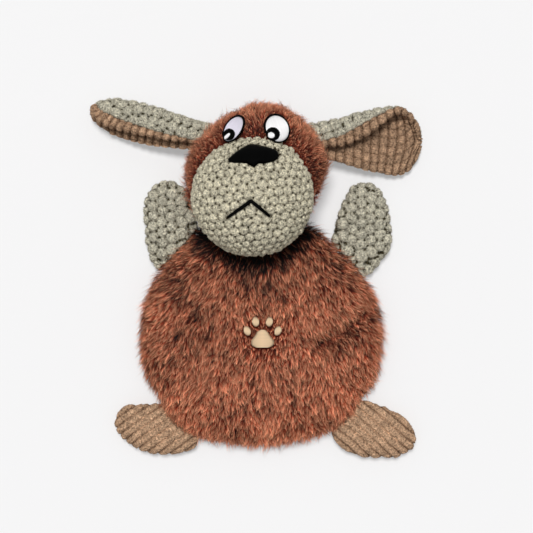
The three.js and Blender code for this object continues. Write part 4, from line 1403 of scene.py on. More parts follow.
def ribbed(skin, height, pitch, segment, nipped, turn, calm, seed, stretched=0.0, darker=0.0):
    """Lifts a skin into ribs that are nipped into short pillows, by the share nipped.

    Where it is stretched, as a share, its grooves get less painted shade and show the light threads in them.
    Its grooves are darkened as painted shade, and darker lowers its shade as a painted shadow."""
    c, s = math.cos(turn), math.sin(turn)
    along = skin["flat"][:, 0] * c + skin["flat"][:, 1] * s
    across = skin["flat"][:, 1] * c - skin["flat"][:, 0] * s
    across = across + RIB_WOBBLE * waves(skin["flat"], RIB_WOBBLE_LENGTH, seed)
    row = np.floor(across / pitch)
    in_row = across / pitch - row
    shift = np.modf(np.sin(row * SHIFT_RATE + seed) * SHIFT_SCALE)[0] * PILLOW_SHIFT_SHARE
    in_segment = np.mod(along / segment + shift, 1)
    pillow = rounded_ridge(in_row, RIB_POWER) * (1 - nipped * (1 - rounded_ridge(in_segment, PILLOW_POWER)))
    yarn_wave = summed_waves(skin["points"], RIB_YARN_WAVES, seed + 1, YARN_COUNT)
    skin["points"] = skin["points"] + skin["normals"] * ((height * pillow + yarn_wave) * calm)[:, None]
    to_groove = np.minimum(in_row, 1 - in_row) * pitch
    to_nip = np.minimum(in_segment, 1 - in_segment) * segment
    patchy = smooth_share(waves(skin["flat"], THREAD_PATCH_LENGTH, seed + 3), *THREAD_PATCHES)
    cross_thread = CROSS_THREAD_SHARE * np.exp(-(to_nip / THREAD_REACH) ** 2)
    thread = np.maximum(np.exp(-(to_groove / THREAD_REACH) ** 2), cross_thread)
    thread = thread * patchy * stretched
    # Painted shade in the grooves, weaker where the cloth is stretched
    depth = 1 - (1 - pillow) * (1 - STRETCHED_SHARE * stretched)
    skin["depth"] = np.maximum(depth, thread) * np.clip(calm, LEAST_CALM, 1)
    segments = np.floor(along / segment + shift)
    tone = 0.5 * np.sin(row * ROW_SHADE_RATE + segments * PILLOW_SHADE_RATE + seed)
    skin["shade"] = 0.5 + tone * (1 - thread) + THREAD_SHADE * thread - darker
    skin["normals"] = vertex_normals(skin["points"], skin["quads"])


NAP_LEAST_DEPTH = 0.25
NAP_LENGTHS = (0.6, 1.3)
NAP_WILDNESS = 0.9
NAP_FIRST_HALF = (0.8, 0.5)
NAP_SECOND_HALF = (0.9, 0.05)
NAP_MIDDLE_LOWEST = 0.0002
NAP_TIP_LOWEST = 0.0001
NAP_SHADE_SPREAD = 0.3
# Yarn ends standing low in grooves and pinholes get painted shade, darker by this share below the middle
# depth
NAP_DEPTH_SHADE = 0.3
NAP_MIDDLE_DEPTH = 0.6
NAP_SOFTNESS = 0.6


def make_nap(name, skin, kind, body, per_area, seed, bend=None):
    """Loose yarn ends all over a cloth."""
    _, colours = settings()
    cloth = CLOTHS[kind]
    rng = np.random.default_rng(seed)
    quads = skin["quads"]
    density = per_area * PER_SQUARE_METRE * 1
    count = int(face_areas(skin["points"], quads).sum() * density)
    faces, place = scattered(skin["points"], quads, count, rng)
    depth = in_faces(skin["depth"], quads, faces, place)
    good = depth > NAP_LEAST_DEPTH
    faces, place, depth = faces[good], place[good], depth[good]
    roots = in_faces(skin["points"], quads, faces, place)
    normals = unit(in_faces(skin["normals"], quads, faces, place))
    wild = rng.normal(size=roots.shape)
    flow = unit(wild - normals * (wild * normals).sum(axis=1, keepdims=True))
    size = cloth["end_length"] * rng.uniform(*NAP_LENGTHS, len(roots))
    half = (size * 0.5)[:, None]
    turn = unit(flow + NAP_WILDNESS * rng.normal(size=roots.shape))
    along, off = NAP_FIRST_HALF
    middles = roots + (flow * along + normals * off) * half
    along, back = NAP_SECOND_HALF
    tips = middles + (turn * along - normals * back) * half
    middles[:, 2] = np.maximum(middles[:, 2], NAP_MIDDLE_LOWEST)
    tips[:, 2] = np.maximum(tips[:, 2], NAP_TIP_LOWEST)
    sideways = unit(np.cross(unit(tips - roots), normals))
    # Painted shade: yarn ends lower in the cloth are darker
    shades = 0.5 + rng.normal(0, NAP_SHADE_SPREAD, len(roots)) + NAP_DEPTH_SHADE * (depth - NAP_MIDDLE_DEPTH)
    shades = np.clip(shades, 0, 1)
    widths = cloth["end_width"] * rng.uniform(*WIDTHS, len(roots))
    material = nap_material(cloth["ends"], getattr(colours, f"{kind}_top"))
    piece = blades(name, material, roots, middles, tips, widths, sideways, normals, shades, NAP_SOFTNESS)
    attach(piece, body, cloth["slot"], bend=bend)


# The lowest that a cloth lies, above the tabletop
CLOTH_LOWEST = 0.0001

# How far inside and outside its seam the points given with a sewn-on ear's or limb's bend lie; nothing reads
# them and the cloth does not bend
BEND_INSIDE = 0.003
BEND_OUTSIDE = 0.013


def cloth_piece(name, skin, material):
    skin["points"][:, 2] = np.maximum(skin["points"][:, 2], CLOTH_LOWEST)
    values = {"depth": skin["depth"], "shade": skin["shade"]}
    return new_piece(name, skin["points"], skin["quads"], [], material, values, skin["spots"])


def sewn_cloth(name, skin, kind, body, *stands_for, bend=None):
    """A piece of one of the cloths, which stands for CAD nodes."""
    _, colours = settings()
    cloth = CLOTHS[kind]
    top, gap = getattr(colours, f"{kind}_top"), getattr(colours, f"{kind}_gap")
    yarn = {key: cloth[key] for key in ("fleck_scale", "fleck", "bump")}
    material = cloth_material(cloth["material"], top, gap, **yarn)
    piece = cloth_piece(name, skin, material)
    attach(piece, body, cloth["slot"], *stands_for, bend=bend)
    return piece


def bend_at(body, seam, outward):
    """The body that a root is sewn to and points inside and outside its seam. Nothing reads them: given to
    attach, they only keep the piece from being parented to a body.
    """
    return body, seam - outward * BEND_INSIDE, seam + outward * BEND_OUTSIDE


def attach(piece, body, slot, *stands_for, bend=None):
    if bend is None:
        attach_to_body(piece, body)
    else:
        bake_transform(piece)
    if stands_for:
        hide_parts(*stands_for)


def cloth_step(share=1.0):
    sizes, _ = settings()
    return sizes.grid_step * share * 1.0


# Ears

# The tables run from root to tip: how far an ear is folded over, how much of its flat leaves is the
# lower one, its fold's radius and how far its lining rolls over the edge as shares of the plain ones
EARS = {
    "left": {
        "seam": 145.5, "heading": 170, "turn": -8, "length": 0.0922, "width": 0.0485, "root": 0.033,
        # darker: painted shadow on the lining, where the folded leaf shades it
        "darker": 0.15, "sideways": -1,
        "folds": [180, 180, 180, 178, 175, 170, 160],
        "lower": [0.60, 0.60, 0.59, 0.58, 0.57, 0.54, 0.5],
        "radii": [1, 1, 1, 1, 1, 0.9, 0.6],
        "rolls": [0.15, 0.2, 0.4, 0.6, 0.9, 1.15, 1.2],
    },
    "right": {
        "seam": 30, "heading": 2, "turn": -3, "length": 0.0860, "width": 0.0595, "root": 0.038,
        # darker: painted shadow on the lining, where the folded leaf shades it
        "darker": 0.75, "sideways": 1,
        "folds": [180, 180, 180, 174, 136, 88, 66],
        "lower": [0.65, 0.65, 0.67, 0.75, 0.82, 0.88, 0.9],
        "radii": [1, 1, 1, 1.1, 1.35, 1.5, 1.2],
        "rolls": [0.2, 0.5, 1.0, 1.4, 1.1, 0.4, 0.2],
    },
}

# The width of an ear's tip as a share, how far its lining rolls over the upper edge and how far the
# corners of its tip run back in metres, and the power that they run back by
EAR_TIP_SHARE = 0.14
EAR_ROLL = 0.0062
EAR_BOW = 0.009
EAR_BOW_POWER = 3

# Half the thickness of an ear's cloth, and how far in from a free edge it starts to curve round it
EAR_HALF_CLOTH = 0.0010
EDGE_RADIUS = 0.0024

# How an ear's rows crowd toward its tip, and the points that its width is measured at
EAR_ROW_POWER = 1.3
EAR_WIDTH_POINTS = 60

# How an ear's cloth is laid out for baking: the first and last spot of its rows and columns, the scale
# and start of its under side, and the corners of the small faces on its rim
EAR_ROW_SPOTS = (0.01, 0.99)
EAR_COLUMN_SPOTS = (0.02, 0.88)
UNDER_SCALE = np.array([1, 0.08])
UNDER_START = np.array([0, 0.9])
RIM_CORNERS = np.array([[0, 0], [0.002, 0], [0.002, 0.002], [0, 0.002]])

# The yarn of an ear's cloth under its free side
UNDER_DEPTH = 0.4
UNDER_SHADE = 0.5


def along_ear(ear, key, share):
    """The number in an ear's table at a share of its length."""
    return np.interp(share, np.linspace(0, 1, len(ear[key])), ear[key])


def ear_width(ear, share):
    past = np.clip((share - EAR_ROUND_FROM) / (1 - EAR_ROUND_FROM), 0, 1)
    tip = np.maximum(EAR_TIP_SHARE, np.sqrt(1 - past ** 2))
    return (ear["root"] + (ear["width"] - ear["root"]) * smooth_share(share, 0, EAR_WIDE_FROM)) * tip


def ear_spine(ear, share):
    """The middle of an ear at a share of its length, and the way across it."""
    rim, _ = rim_spot(HEAD, ear["seam"])
    start, turn = math.radians(ear["heading"]), math.radians(ear["turn"])
    heading = start + turn * share
    arc = ear["length"] / turn
    x = rim[0] - EAR_ROOT_SINK * math.cos(start) + arc * (math.sin(heading) - math.sin(start))
    y = rim[1] - EAR_ROOT_SINK * math.sin(start) - arc * (math.cos(heading) - math.cos(start))
    height = EAR_ROOT_HEIGHT + (EAR_REST_HEIGHT - EAR_ROOT_HEIGHT) * float(smooth_share(share, 0, 1))
    across = ear["sideways"] * np.array([-math.sin(heading), math.cos(heading), 0.0])
    return np.array([x, y, height]), across


def ear_section(lower, fold, radius, run):
    """An ear's cross-section: flat, then round its fold, then flat again."""
    bend = np.clip((run - lower) / radius, 0, fold)
    rest = np.maximum(run - lower - fold * radius, 0)
    y = np.minimum(run, lower) + radius * np.sin(bend) + rest * np.cos(bend)
    z = radius * (1 - np.cos(bend)) + rest * np.sin(bend)
    return y, z, bend


def ear_sheet(ear, shares, spread, roll):
    """The middle surface of an ear, from its lower free edge over its fold to its upper free edge.

    spread is how far round each row its points lie, and roll is how much longer than the ear a row is."""
    above = np.array([0, 0, 1.0])
    spots, facing, runs, widths = [], [], [], []
    for share in shares:
        width = float(ear_width(ear, share))
        fold = math.radians(along_ear(ear, "folds", share))
        radius = EAR_FOLD_RADIUS * along_ear(ear, "radii", share)
        leaves = width - fold * radius
        lower = max(EAR_LEAST_LEAF, leaves * along_ear(ear, "lower", share))
        upper = max(EAR_LEAST_LEAF, leaves - lower)
        total = lower + fold * radius + upper
        run = spread * (total + roll * along_ear(ear, "rolls", share))
        back = np.where(run > total, 2 * total - run, run)
        y, z, bend = ear_section(lower, fold, radius, back)
        ends = ear_section(lower, fold, radius, np.linspace(0, total, EAR_WIDTH_POINTS))[0]
        y = y - (ends.min() + ends.max()) / 2
        base, across = ear_spine(ear, share)
        spots.append(base + across * y[:, None] + above * z[:, None])
        facing.append(np.cos(bend)[:, None] * above - np.sin(bend)[:, None] * across)
        runs.append(run)
        widths.append(np.full(len(run), total))
    return np.array(spots), np.array(facing), np.array(runs), np.array(widths)


def rounded_edge(distance, radius):
    share = np.clip(distance / radius, 0, 1)
    return np.sqrt(np.maximum(1 - (1 - share) ** 2, 0))


def ear_cloth(ear, lining, step):
    """One cloth of an ear as a skin. The lining passes round the upper free edge onto the back."""
    rows = int(ear["length"] / step)
    shares = 1 - (1 - np.linspace(0, 1, rows)) ** EAR_ROW_POWER
    columns = int(ear["width"] / step)
    roll = EAR_ROLL if lining else -EAR_ROLL
    middle, inward, runs, widths = ear_sheet(ear, shares, np.linspace(0, 1, columns), roll)
    reach = (roll * along_ear(ear, "rolls", shares))[:, None]
    on_back = (runs > widths) if lining else np.ones(runs.shape, bool)
    side = np.where(on_back, -1.0, 1.0)
    to_edge = np.minimum(runs, abs(widths - runs)) if lining else runs
    to_tip = (1 - shares)[:, None] * ear["length"] * np.ones(runs.shape)
    at_seam = rounded_edge((widths + reach) - runs, EDGE_RADIUS)
    soft = rounded_edge(to_edge, EDGE_RADIUS) * rounded_edge(to_tip, EDGE_RADIUS) * at_seam
    facing = inward * side[..., None]
    bow = EAR_BOW * (shares ** EAR_BOW_POWER)[:, None] * (2 * runs / widths - 1) ** 2
    length = (shares * ear["length"])[:, None] + bow
    index = np.arange(runs.size).reshape(runs.shape)
    flip = (ear["sideways"] > 0) == lining
    quads = grid_quads(index) if flip else grid_quads(index)[:, ::-1]
    points = (middle + facing * (EAR_HALF_CLOTH * soft)[..., None]).reshape(-1, 3)
    free = at_seam if lining else soft
    column_spots = np.linspace(*EAR_COLUMN_SPOTS, columns)
    u, v = np.meshgrid(np.linspace(*EAR_ROW_SPOTS, rows), column_spots, indexing="ij")
    return {
        "points": points,
        "normals": vertex_normals(points, quads),
        "flat": np.stack([runs, length], axis=-1).reshape(-1, 2),
        "calm": free.reshape(-1),
        "upper": np.ones(runs.size, bool),
        "quads": quads,
        "index": index,
        "under": (middle + facing * (REST_GAP * soft)[..., None]).reshape(-1, 3),
        "flip": flip,
        "uv": np.stack([u, v], axis=-1).reshape(-1, 2),
        "cut": (float((widths + reach).max()), ear["length"]),
        "cut_area": float((widths + reach).mean() * ear["length"]),
    }


def close_ear_cloth(skin):
    """Adds the under side and the rim of an ear cloth, so that it is one closed solid."""
    count = len(skin["points"])
    index = skin["index"]
    faces = grid_quads(index + count)
    border = np.concatenate([index[:-1, 0], index[-1, :-1], index[:0:-1, -1], index[0, :0:-1]])
    after = np.roll(border, -1)
    rim = np.stack([border, after, after + count, border + count], axis=1)
    if skin["flip"]:
        faces = faces[:, ::-1]
    else:
        rim = rim[:, ::-1]
    low = skin["uv"] * UNDER_SCALE + UNDER_START
    both = np.concatenate([low, low])
    rim_spots = both[rim[:, 0]][:, None] + RIM_CORNERS
    outer_spots = skin["uv"][skin["quads"]]
    skin["spots"] = np.concatenate([outer_spots, both[faces], rim_spots]).reshape(-1, 2)
    skin["outer_quads"] = skin["quads"]
    skin["quads"] = np.concatenate([skin["quads"], faces, rim])
    skin["points"] = np.concatenate([skin["points"], skin["under"]])
    skin["depth"] = np.concatenate([skin["depth"], np.full(count, UNDER_DEPTH)])
    skin["shade"] = np.concatenate([skin["shade"], np.full(count, UNDER_SHADE)])


# The stage: the tabletop's reach and drop and the camera's place and nearest sight in metres, and the
# camera's sensor and lens in millimetres
FLOOR_REACH = 6.0
FLOOR_DROP = 0.0001
CAMERA_AT = (0.0033, 0.0507, 0.9)
CAMERA_NEAR = 0.01
CAMERA_SENSOR = 36
CAMERA_LENS = 83.3

# The window's light: where it stands in metres, how it leans and how wide it looks in degrees, its
# strength and its colour, and then the colour of the world
WINDOW_AT = (-0.2, 1.0, 1.1)
WINDOW_LEAN = (-18, -3, 0)
WINDOW_WIDTH = 18
WINDOW_ENERGY = 2.25
WINDOW_COLOUR = (1.0, 0.99, 0.975)
WORLD_COLOUR = (0.98, 0.99, 1.0)

# The knitted ground of the fur: the size of its faces in metres, its depth, its shades' waves and their
# seed, how dark its gaps are, its flecks and bump, and how full the stuffed forms are
BACKING_STEP = 0.0022
BACKING_DEPTH = 0.8
BACKING_WAVES = ((0.2, 0.02),)
BACKING_SEED = 5
BACKING_GAP_SHARE = 0.6
BACKING_YARN = {"fleck_scale": 1400.0, "fleck": 0.4, "bump": 0.0002}

# How the fur lies on the body and head: the plan point that it is combed away from and how far it turns
# out at the rim, the size of a clump in front and behind in metres, the hairs' lift in degrees, how
# dense the fur is as a share, and how unruly the head's is
BODY_COMBING = ((-0.002, 0.120), 0.3)
HEAD_COMBING = (MUZZLE.centre, 0.5)
FRONT_CLUMP = 0.0012
BACK_CLUMP = 0.0018
BODY_LIFTS = ((48, 6), (20, 4))
HEAD_LIFTS = ((54, 22), (35, 8))
BODY_BACK_DENSITY = 0.45
HEAD_DENSITIES = (1.15, 0.55)
HEAD_MESS = 0.3

# Where hairs stay off: round the paw, in the head, near the neck and under the eyes' edges, in metres
PAW_CLEARANCE = 0.0005
HEAD_OVERLAP = -0.004
NECK_CLEARANCE = 0.0016
EYE_OVERLAP = -0.0022

# Shorter hairs: the share left beside the paw and the muzzle and inside and outside the eyes, and how
# far off in metres they start and stop getting longer. The paw's outline is followed in steps
PAW_SHORT = 0.3
PAW_SHORT_REACH = (0.0005, 0.008)
MUZZLE_SHORT = 0.25
MUZZLE_SHORT_REACH = (0.0, 0.008)
EYE_SHORT_OUTSIDE = 0.75
EYE_SHORT_INSIDE = 0.42
EYE_SHORT_REACH = (0.001, 0.007)
PAW_STEP = 0.001

# What the panel's buttons make

def settings():
    return bpy.context.scene.dog_toy_sizes, bpy.context.scene.dog_toy_colours


class DOGTOY_OT_stage(bpy.types.Operator):
    """Sets up the pale tabletop, the soft light and the camera above the toy"""
    bl_idname = "dog_toy.make_stage"
    bl_label = "Make Stage"

    def execute(self, context):
        _, colours = settings()
        scene = context.scene
        values = {"Base": rgba(colours.floor), "Scale": 3.0, "Vary": 0.01}
        shading = {"Roughness": 0.6, "Specular IOR Level": 0.1}
        material = shared_material("tabletop", "Moulded Grain", values, shading)
        glow_for_camera(material, FLOOR_GLOW_SHARE)
        corners = FLOOR_REACH * np.array([(-1, -1, 0), (1, -1, 0), (1, 1, 0), (-1, 1, 0)])
        floor = new_piece("tabletop", corners, [[0, 1, 2, 3]], [], material)
        floor.location.z = -FLOOR_DROP

        camera = bpy.data.objects.new("camera", bpy.data.cameras.new("camera"))
        camera.data.sensor_width = CAMERA_SENSOR
        camera.data.lens = CAMERA_LENS
        camera.data.clip_start = CAMERA_NEAR
        camera.location = CAMERA_AT
        scene.collection.objects.link(camera)
        scene.camera = camera

        window = bpy.data.lights.new("window", "SUN")
        window.angle = math.radians(WINDOW_WIDTH)
        window.energy = WINDOW_ENERGY
        window.color = WINDOW_COLOUR
        lamp = bpy.data.objects.new("window", window)
        lamp.location = WINDOW_AT
        lamp.rotation_euler = [math.radians(degrees) for degrees in WINDOW_LEAN]
        scene.collection.objects.link(lamp)

        scene.world = bpy.data.worlds.new("studio")
        scene.world.use_nodes = True
        tree = scene.world.node_tree
        tree.nodes.clear()
        seen = seen_directly(tree)
        strength = calculated(tree, (-250, 0), "MULTIPLY_ADD", seen, WORLD_SEEN - WORLD_LIGHT, WORLD_LIGHT)
        light = {"Color": rgba(WORLD_COLOUR), "Strength": strength}
        background = node(tree, "ShaderNodeBackground", (0, 0), light)
        node(tree, "ShaderNodeOutputWorld", (250, 0), {"Surface": background.outputs["Background"]})
        scene.view_settings.view_transform = "Standard"
        return {"FINISHED"}


def backing_piece(name, skin, body, *nodes):
    """The knitted ground that the fur grows from."""
    _, colours = settings()
    skin["depth"] = np.full(len(skin["points"]), BACKING_DEPTH)
    skin["shade"] = np.clip(0.5 + summed_waves(skin["points"], BACKING_WAVES, BACKING_SEED), 0, 1)
    dark = [part * BACKING_GAP_SHARE for part in colours.fur_backing]
    material = cloth_material("fur_ground", colours.fur_backing, dark, **BACKING_YARN)
    piece = cloth_piece(name, skin, material)
    attach(piece, body, "fur", *nodes)


class DOGTOY_OT_body(bpy.types.Operator):
    """Makes the round fur body"""
    bl_idname = "dog_toy.make_body"
    bl_label = "Make Body"

    def execute(self, context):
        sizes, _ = settings()
        skin = form_skin(BODY, sizes.fur_depth, BACKING_STEP)
        folded_in(skin)
        backing_piece(
            "body_backing", skin, "torso",
            "body_front_panel", "body_back_panel", "body_wadding_front", "body_wadding_back")
        outlines = paw_outlines()

        def keep(roots):
            clear = ~HEAD.holds(roots, HEAD_OVERLAP)
            for outline in outlines:
                inside = inside_outline(roots[:, :2], grown_outline(outline, PAW_CLEARANCE))
                clear &= ~inside | (roots[:, 2] < BODY.seam)
            return clear

        def shorter(roots):
            near = np.ones(len(roots))
            for outline in outlines:
                gap, _ = nearest_site(roots[:, :2], resampled(outline, PAW_STEP))
                near = np.minimum(near, PAW_SHORT + (1 - PAW_SHORT) * smooth_share(gap, *PAW_SHORT_REACH))
            return np.where(roots[:, 2] > BODY.seam, near, 1.0)

        half = skin["upper_quads"]
        front_lift, back_lift = BODY_LIFTS
        make_fur("body_front_fur", "torso", skin, slice(0, half), BODY_COMBING, sizes.fur_length,
                 SEEDS["body"], keep, FRONT_CLUMP, front_lift, shorter, painted_shade=painted_body_shade)
        make_fur("body_back_fur", "torso", skin, slice(half, None), BODY_COMBING, sizes.fur_length,
                 SEEDS["body"] + 1, keep, BACK_CLUMP, back_lift, density_share=BODY_BACK_DENSITY)
        return {"FINISHED"}


class DOGTOY_OT_head(bpy.types.Operator):
    """Makes the fur head"""
    bl_idname = "dog_toy.make_head"
    bl_label = "Make Head"

    def execute(self, context):
        sizes, _ = settings()
        skin = form_skin(HEAD, sizes.fur_depth, BACKING_STEP)
        headward = np.array([0.0, 1.0, 0.0])
        skin["points"] = push_clear(skin["points"], headward, swept_by(BODY, "head_nod", REST_GAP))
        skin["normals"] = vertex_normals(skin["points"], skin["quads"])
        backing_piece("head_backing", skin, "head", "head_front_panel", "head_back_panel", "head_wadding")
        near_neck = swept_by(BODY, "head_nod", NECK_CLEARANCE)
        eyes = [grown_outline(eye_outline(eye), EYE_OVERLAP) for eye in EYES.values()]

        def keep(roots):
            clear = ~MUZZLE.holds(roots, 0.0) & ~near_neck(roots)
            for outline in eyes:
                clear &= ~inside_outline(roots[:, :2], outline) | (roots[:, 2] < HEAD.seam)
            return clear

        def shorter(roots):
            near_muzzle = smooth_share(past_muzzle(roots), *MUZZLE_SHORT_REACH)
            share = MUZZLE_SHORT + (1 - MUZZLE_SHORT) * near_muzzle
            for eye in EYES.values():
                outline = eye_outline(eye)
                gap, near = nearest_site(roots[:, :2], outline)
                away = roots[:, :2] - outline[near]
                outside = (away * unit(roots[:, :2] - MUZZLE.centre)).sum(axis=1) > 0
                short = np.where(outside, EYE_SHORT_OUTSIDE, EYE_SHORT_INSIDE)
                share = np.minimum(share, short + (1 - short) * smooth_share(gap, *EYE_SHORT_REACH))
            return np.where(roots[:, 2] > HEAD.seam, share, 1.0)

        half = skin["upper_quads"]
        front_lift, back_lift = HEAD_LIFTS
        front_density, back_density = HEAD_DENSITIES
        make_fur("head_front_fur", "head", skin, slice(0, half), HEAD_COMBING, sizes.head_fur_length,
                 SEEDS["head"], keep, FRONT_CLUMP, front_lift, shorter, front_density, head_tone_and_painted_shade, HEAD_MESS)
        make_fur("head_back_fur", "head", skin, slice(half, None), HEAD_COMBING, sizes.head_fur_length,
                 SEEDS["head"] + 1, keep, BACK_CLUMP, back_lift, density_share=back_density)
        return {"FINISHED"}


# The muzzle: how far in its cloth lies, its grid and its bobbles' height as shares of the others', the
# turn of its rows in degrees, how full it is, and its yarn ends on a square millimetre
MUZZLE_INSET = 0.0022
MUZZLE_STEP_SHARE = 1.2
MUZZLE_HEIGHT_SHARE = 0.86
MUZZLE_TURN = 8
MUZZLE_ENDS = 1.6

# How much of a bobble's height is left under the nose and beside the mouth, and how far off in metres
# the bobbles start and stop growing. The outlines are followed in steps
UNDER_NOSE = 0.1
NOSE_REACH = (-0.0005, 0.0016)
NOSE_STEP = 0.0008
BESIDE_MOUTH = 0.45
MOUTH_REACH = (0.0008, 0.0026)
MOUTH_STEP = 0.0005


class DOGTOY_OT_muzzle(bpy.types.Operator):
    """Makes the round muzzle of pale bobble cloth"""
    bl_idname = "dog_toy.make_muzzle"
    bl_label = "Make Muzzle"

    def execute(self, context):
        sizes, _ = settings()
        seed = SEEDS["muzzle"]
        rng = np.random.default_rng(seed)
        skin = form_skin(MUZZLE, MUZZLE_INSET, cloth_step(MUZZLE_STEP_SHARE))
        sites = sites_on(skin, sizes.muzzle_pitch, math.radians(MUZZLE_TURN), rng)
        plan = skin["points"][:, :2]
        nose_gap, _ = nearest_site(plan, resampled(nose_outline(), NOSE_STEP))
        calm = np.where(inside_outline(plan, nose_outline()), UNDER_NOSE, smooth_share(nose_gap, *NOSE_REACH))
        mouth_gap, _ = nearest_site(plan, resampled(mouth_line(), MOUTH_STEP, False))
        beside = BESIDE_MOUTH + (1 - BESIDE_MOUTH) * smooth_share(mouth_gap, *MOUTH_REACH)
        calm = np.where(skin["upper"], np.minimum(calm, beside), 1.0)
        bobbled(skin, sites, sizes.bobble_height * MUZZLE_HEIGHT_SHARE, sizes.muzzle_pitch, calm, seed + 1)
        up = np.array([0.0, 0.0, 1.0])
        skin["points"] = push_clear(skin["points"], up, swept_by(BODY, "head_nod", REST_GAP))
        piece = sewn_cloth("muzzle", skin, "muzzle", "head", "muzzle_panel", "muzzle_wadding")
        skin["quads"] = skin["quads"][:skin["upper_quads"]]
        make_nap("muzzle_nap", skin, "muzzle", "head", MUZZLE_ENDS, seed + 2)
        return {"FINISHED"}


def resampled(outline, step, closed=True):
    """More points along an outline."""
    ends = np.roll(outline, -1, axis=0) if closed else outline[1:]
    kept = []
    for start, end in zip(outline, ends):
        count = max(1, int(np.linalg.norm(end - start) / step))
        kept.append(start + (end - start) * (np.arange(count) / count)[:, None])
    return np.concatenate(kept)


# Stitches of the face and belly, in metres: how far each kind lies above the form or the stitches under
# it, how far its middle swells, and the half width and half height of the mouth and of the eyes' rims
NOSE_PUFF = 0.0024
EYE_PUFF = 0.0012
PUPIL_LIFT = 0.0012
PUPIL_PUFF = 0.0009
GLINT_LIFT = 0.0021
GLINT_PUFF = 0.0005
PAW_LIFT = 0.0002
PAW_PUFF = 0.0016
MOUTH_THREAD_STEP = 0.0006
MOUTH_HALF_WIDTH = 0.0012
MOUTH_END_SHARE = 0.75
MOUTH_HALF_HEIGHT = 0.0010
EYE_RIM_HALF_WIDTHS = (0.00050, 0.00030)
EYE_RIM_HALF_HEIGHT = 0.0008

# Between which shades the stitches of the nose and of the rest vary
NOSE_SHADES = (0.25, 0.75)
STITCH_SHADES = (0.3, 0.7)


def sew_threads(name, tubes, shades, material, body, slot, *stands_for):
    attach(joined_tubes(name, tubes, shades, material), body, slot, *stands_for)


def stitch_eye(side, eye, black, rng):
    """The white, the pupil, the rim and the glint of an eye."""
    sizes, colours = settings()
    pitch = sizes.stitch_pitch
    outline = eye_outline(eye)
    white = thread_material(f"{side}_eye_satin", getattr(colours, f"{side}_white"), 0.5, 0.12)
    tubes = satin(outline, math.radians(eye["lean"] + 90), pitch, HEAD, EYE_LIFT, EYE_PUFF, rng)
    shades = rng.uniform(*STITCH_SHADES, len(tubes))
    sew_threads(f"{side}_eye_stitches", tubes, shades, white, "head", "white_thread", f"{side}_eye_white")

    pupil_at = np.array(eye["at"]) + PUPIL_SHIFT
    pupil = oval(pupil_at, eye["pupil"], eye["pupil"], 0)
    tubes = satin(pupil, 0, pitch, HEAD, EYE_LIFT + PUPIL_LIFT, PUPIL_PUFF, rng)
    shades = rng.uniform(*STITCH_SHADES, len(tubes))
    sew_threads(f"{side}_pupil_stitches", tubes, shades, black, "head", "black_thread", f"{side}_pupil")

    ring = np.concatenate([outline, outline[:1]])
    heavy = 0.5 + 0.5 * np.cos(np.linspace(0, 2 * math.pi, len(ring)) - math.pi / 2)
    least, more = EYE_RIM_HALF_WIDTHS
    rim = line_thread(ring, HEAD, EYE_LIFT + PUPIL_LIFT, least + more * heavy, EYE_RIM_HALF_HEIGHT)
    sew_threads(f"{side}_eye_rim", [rim], [0.5], black, "head", "black_thread")

    glint = oval(pupil_at + eye["glint_at"], *eye["glint"], eye["glint_lean"])
    tubes = satin(glint, math.radians(90), pitch, HEAD, EYE_LIFT + GLINT_LIFT, GLINT_PUFF, rng)
    shades = rng.uniform(*STITCH_SHADES, len(tubes))
    glint_white = thread_material("glint_satin", colours.right_white, 0.5, 0.1)
    sew_threads(f"{side}_glint", tubes, shades, glint_white, "head", "white_thread")


class DOGTOY_OT_face(bpy.types.Operator):
    """Stitches the nose, mouth and eyes"""
    bl_idname = "dog_toy.make_face"
    bl_label = "Make Face"

    def execute(self, context):
        sizes, colours = settings()
        rng = np.random.default_rng(SEEDS["face"])
        black = thread_material("black_satin", colours.black_thread, 0.6, 0.9)

        tubes = satin(nose_outline(), math.radians(90), sizes.stitch_pitch, MUZZLE, NOSE_LIFT, NOSE_PUFF, rng)
        shades = rng.uniform(*NOSE_SHADES, len(tubes))
        sew_threads("nose", tubes, shades, black, "head", "black_thread", "nose_patch")

        line = resampled(mouth_line(), MOUTH_THREAD_STEP, False)
        thick = MOUTH_END_SHARE + (1 - MOUTH_END_SHARE) * np.sin(math.pi * np.linspace(0, 1, len(line)))
        mouth = line_thread(line, MUZZLE, 0.0, MOUTH_HALF_WIDTH * thick, MOUTH_HALF_HEIGHT)
        sew_threads("mouth", [mouth], [0.5], black, "head", "black_thread")

        for side, eye in EYES.items():
            stitch_eye(side, eye, black, rng)
        return {"FINISHED"}


class DOGTOY_OT_belly(bpy.types.Operator):
    """Stitches the paw on the belly"""
    bl_idname = "dog_toy.make_belly_stitching"
    bl_label = "Make Belly Stitching"

    def execute(self, context):
        sizes, colours = settings()
        rng = np.random.default_rng(SEEDS["belly"])
        cream = thread_material("cream_satin", colours.cream_thread, 0.45, 0.2)
        tubes = []
        for number, outline in enumerate(paw_outlines()):
            angle = math.radians(0 if number == 0 else 90)
            tubes += satin(outline, angle, sizes.stitch_pitch, BODY, PAW_LIFT, PAW_PUFF, rng)
        shades = rng.uniform(*STITCH_SHADES, len(tubes))
        sew_threads("belly_paw", tubes, shades, cream, "torso", "white_thread")
        return {"FINISHED"}


# Ears: the turn of their bobbles' rows in radians, their bobbles' height as a share of the others', the
# length of a pillow of their linings in metres, how far pillows are nipped, and the yarn ends on a
# square millimetre of each cloth
EAR_BOBBLE_TURN = 0.3
EAR_HEIGHT_SHARE = 0.85
EAR_PILLOW = 0.0065
EAR_NIPPED = 0.75
EAR_BOBBLE_ENDS = 2.0
EAR_CORD_ENDS = 1.6


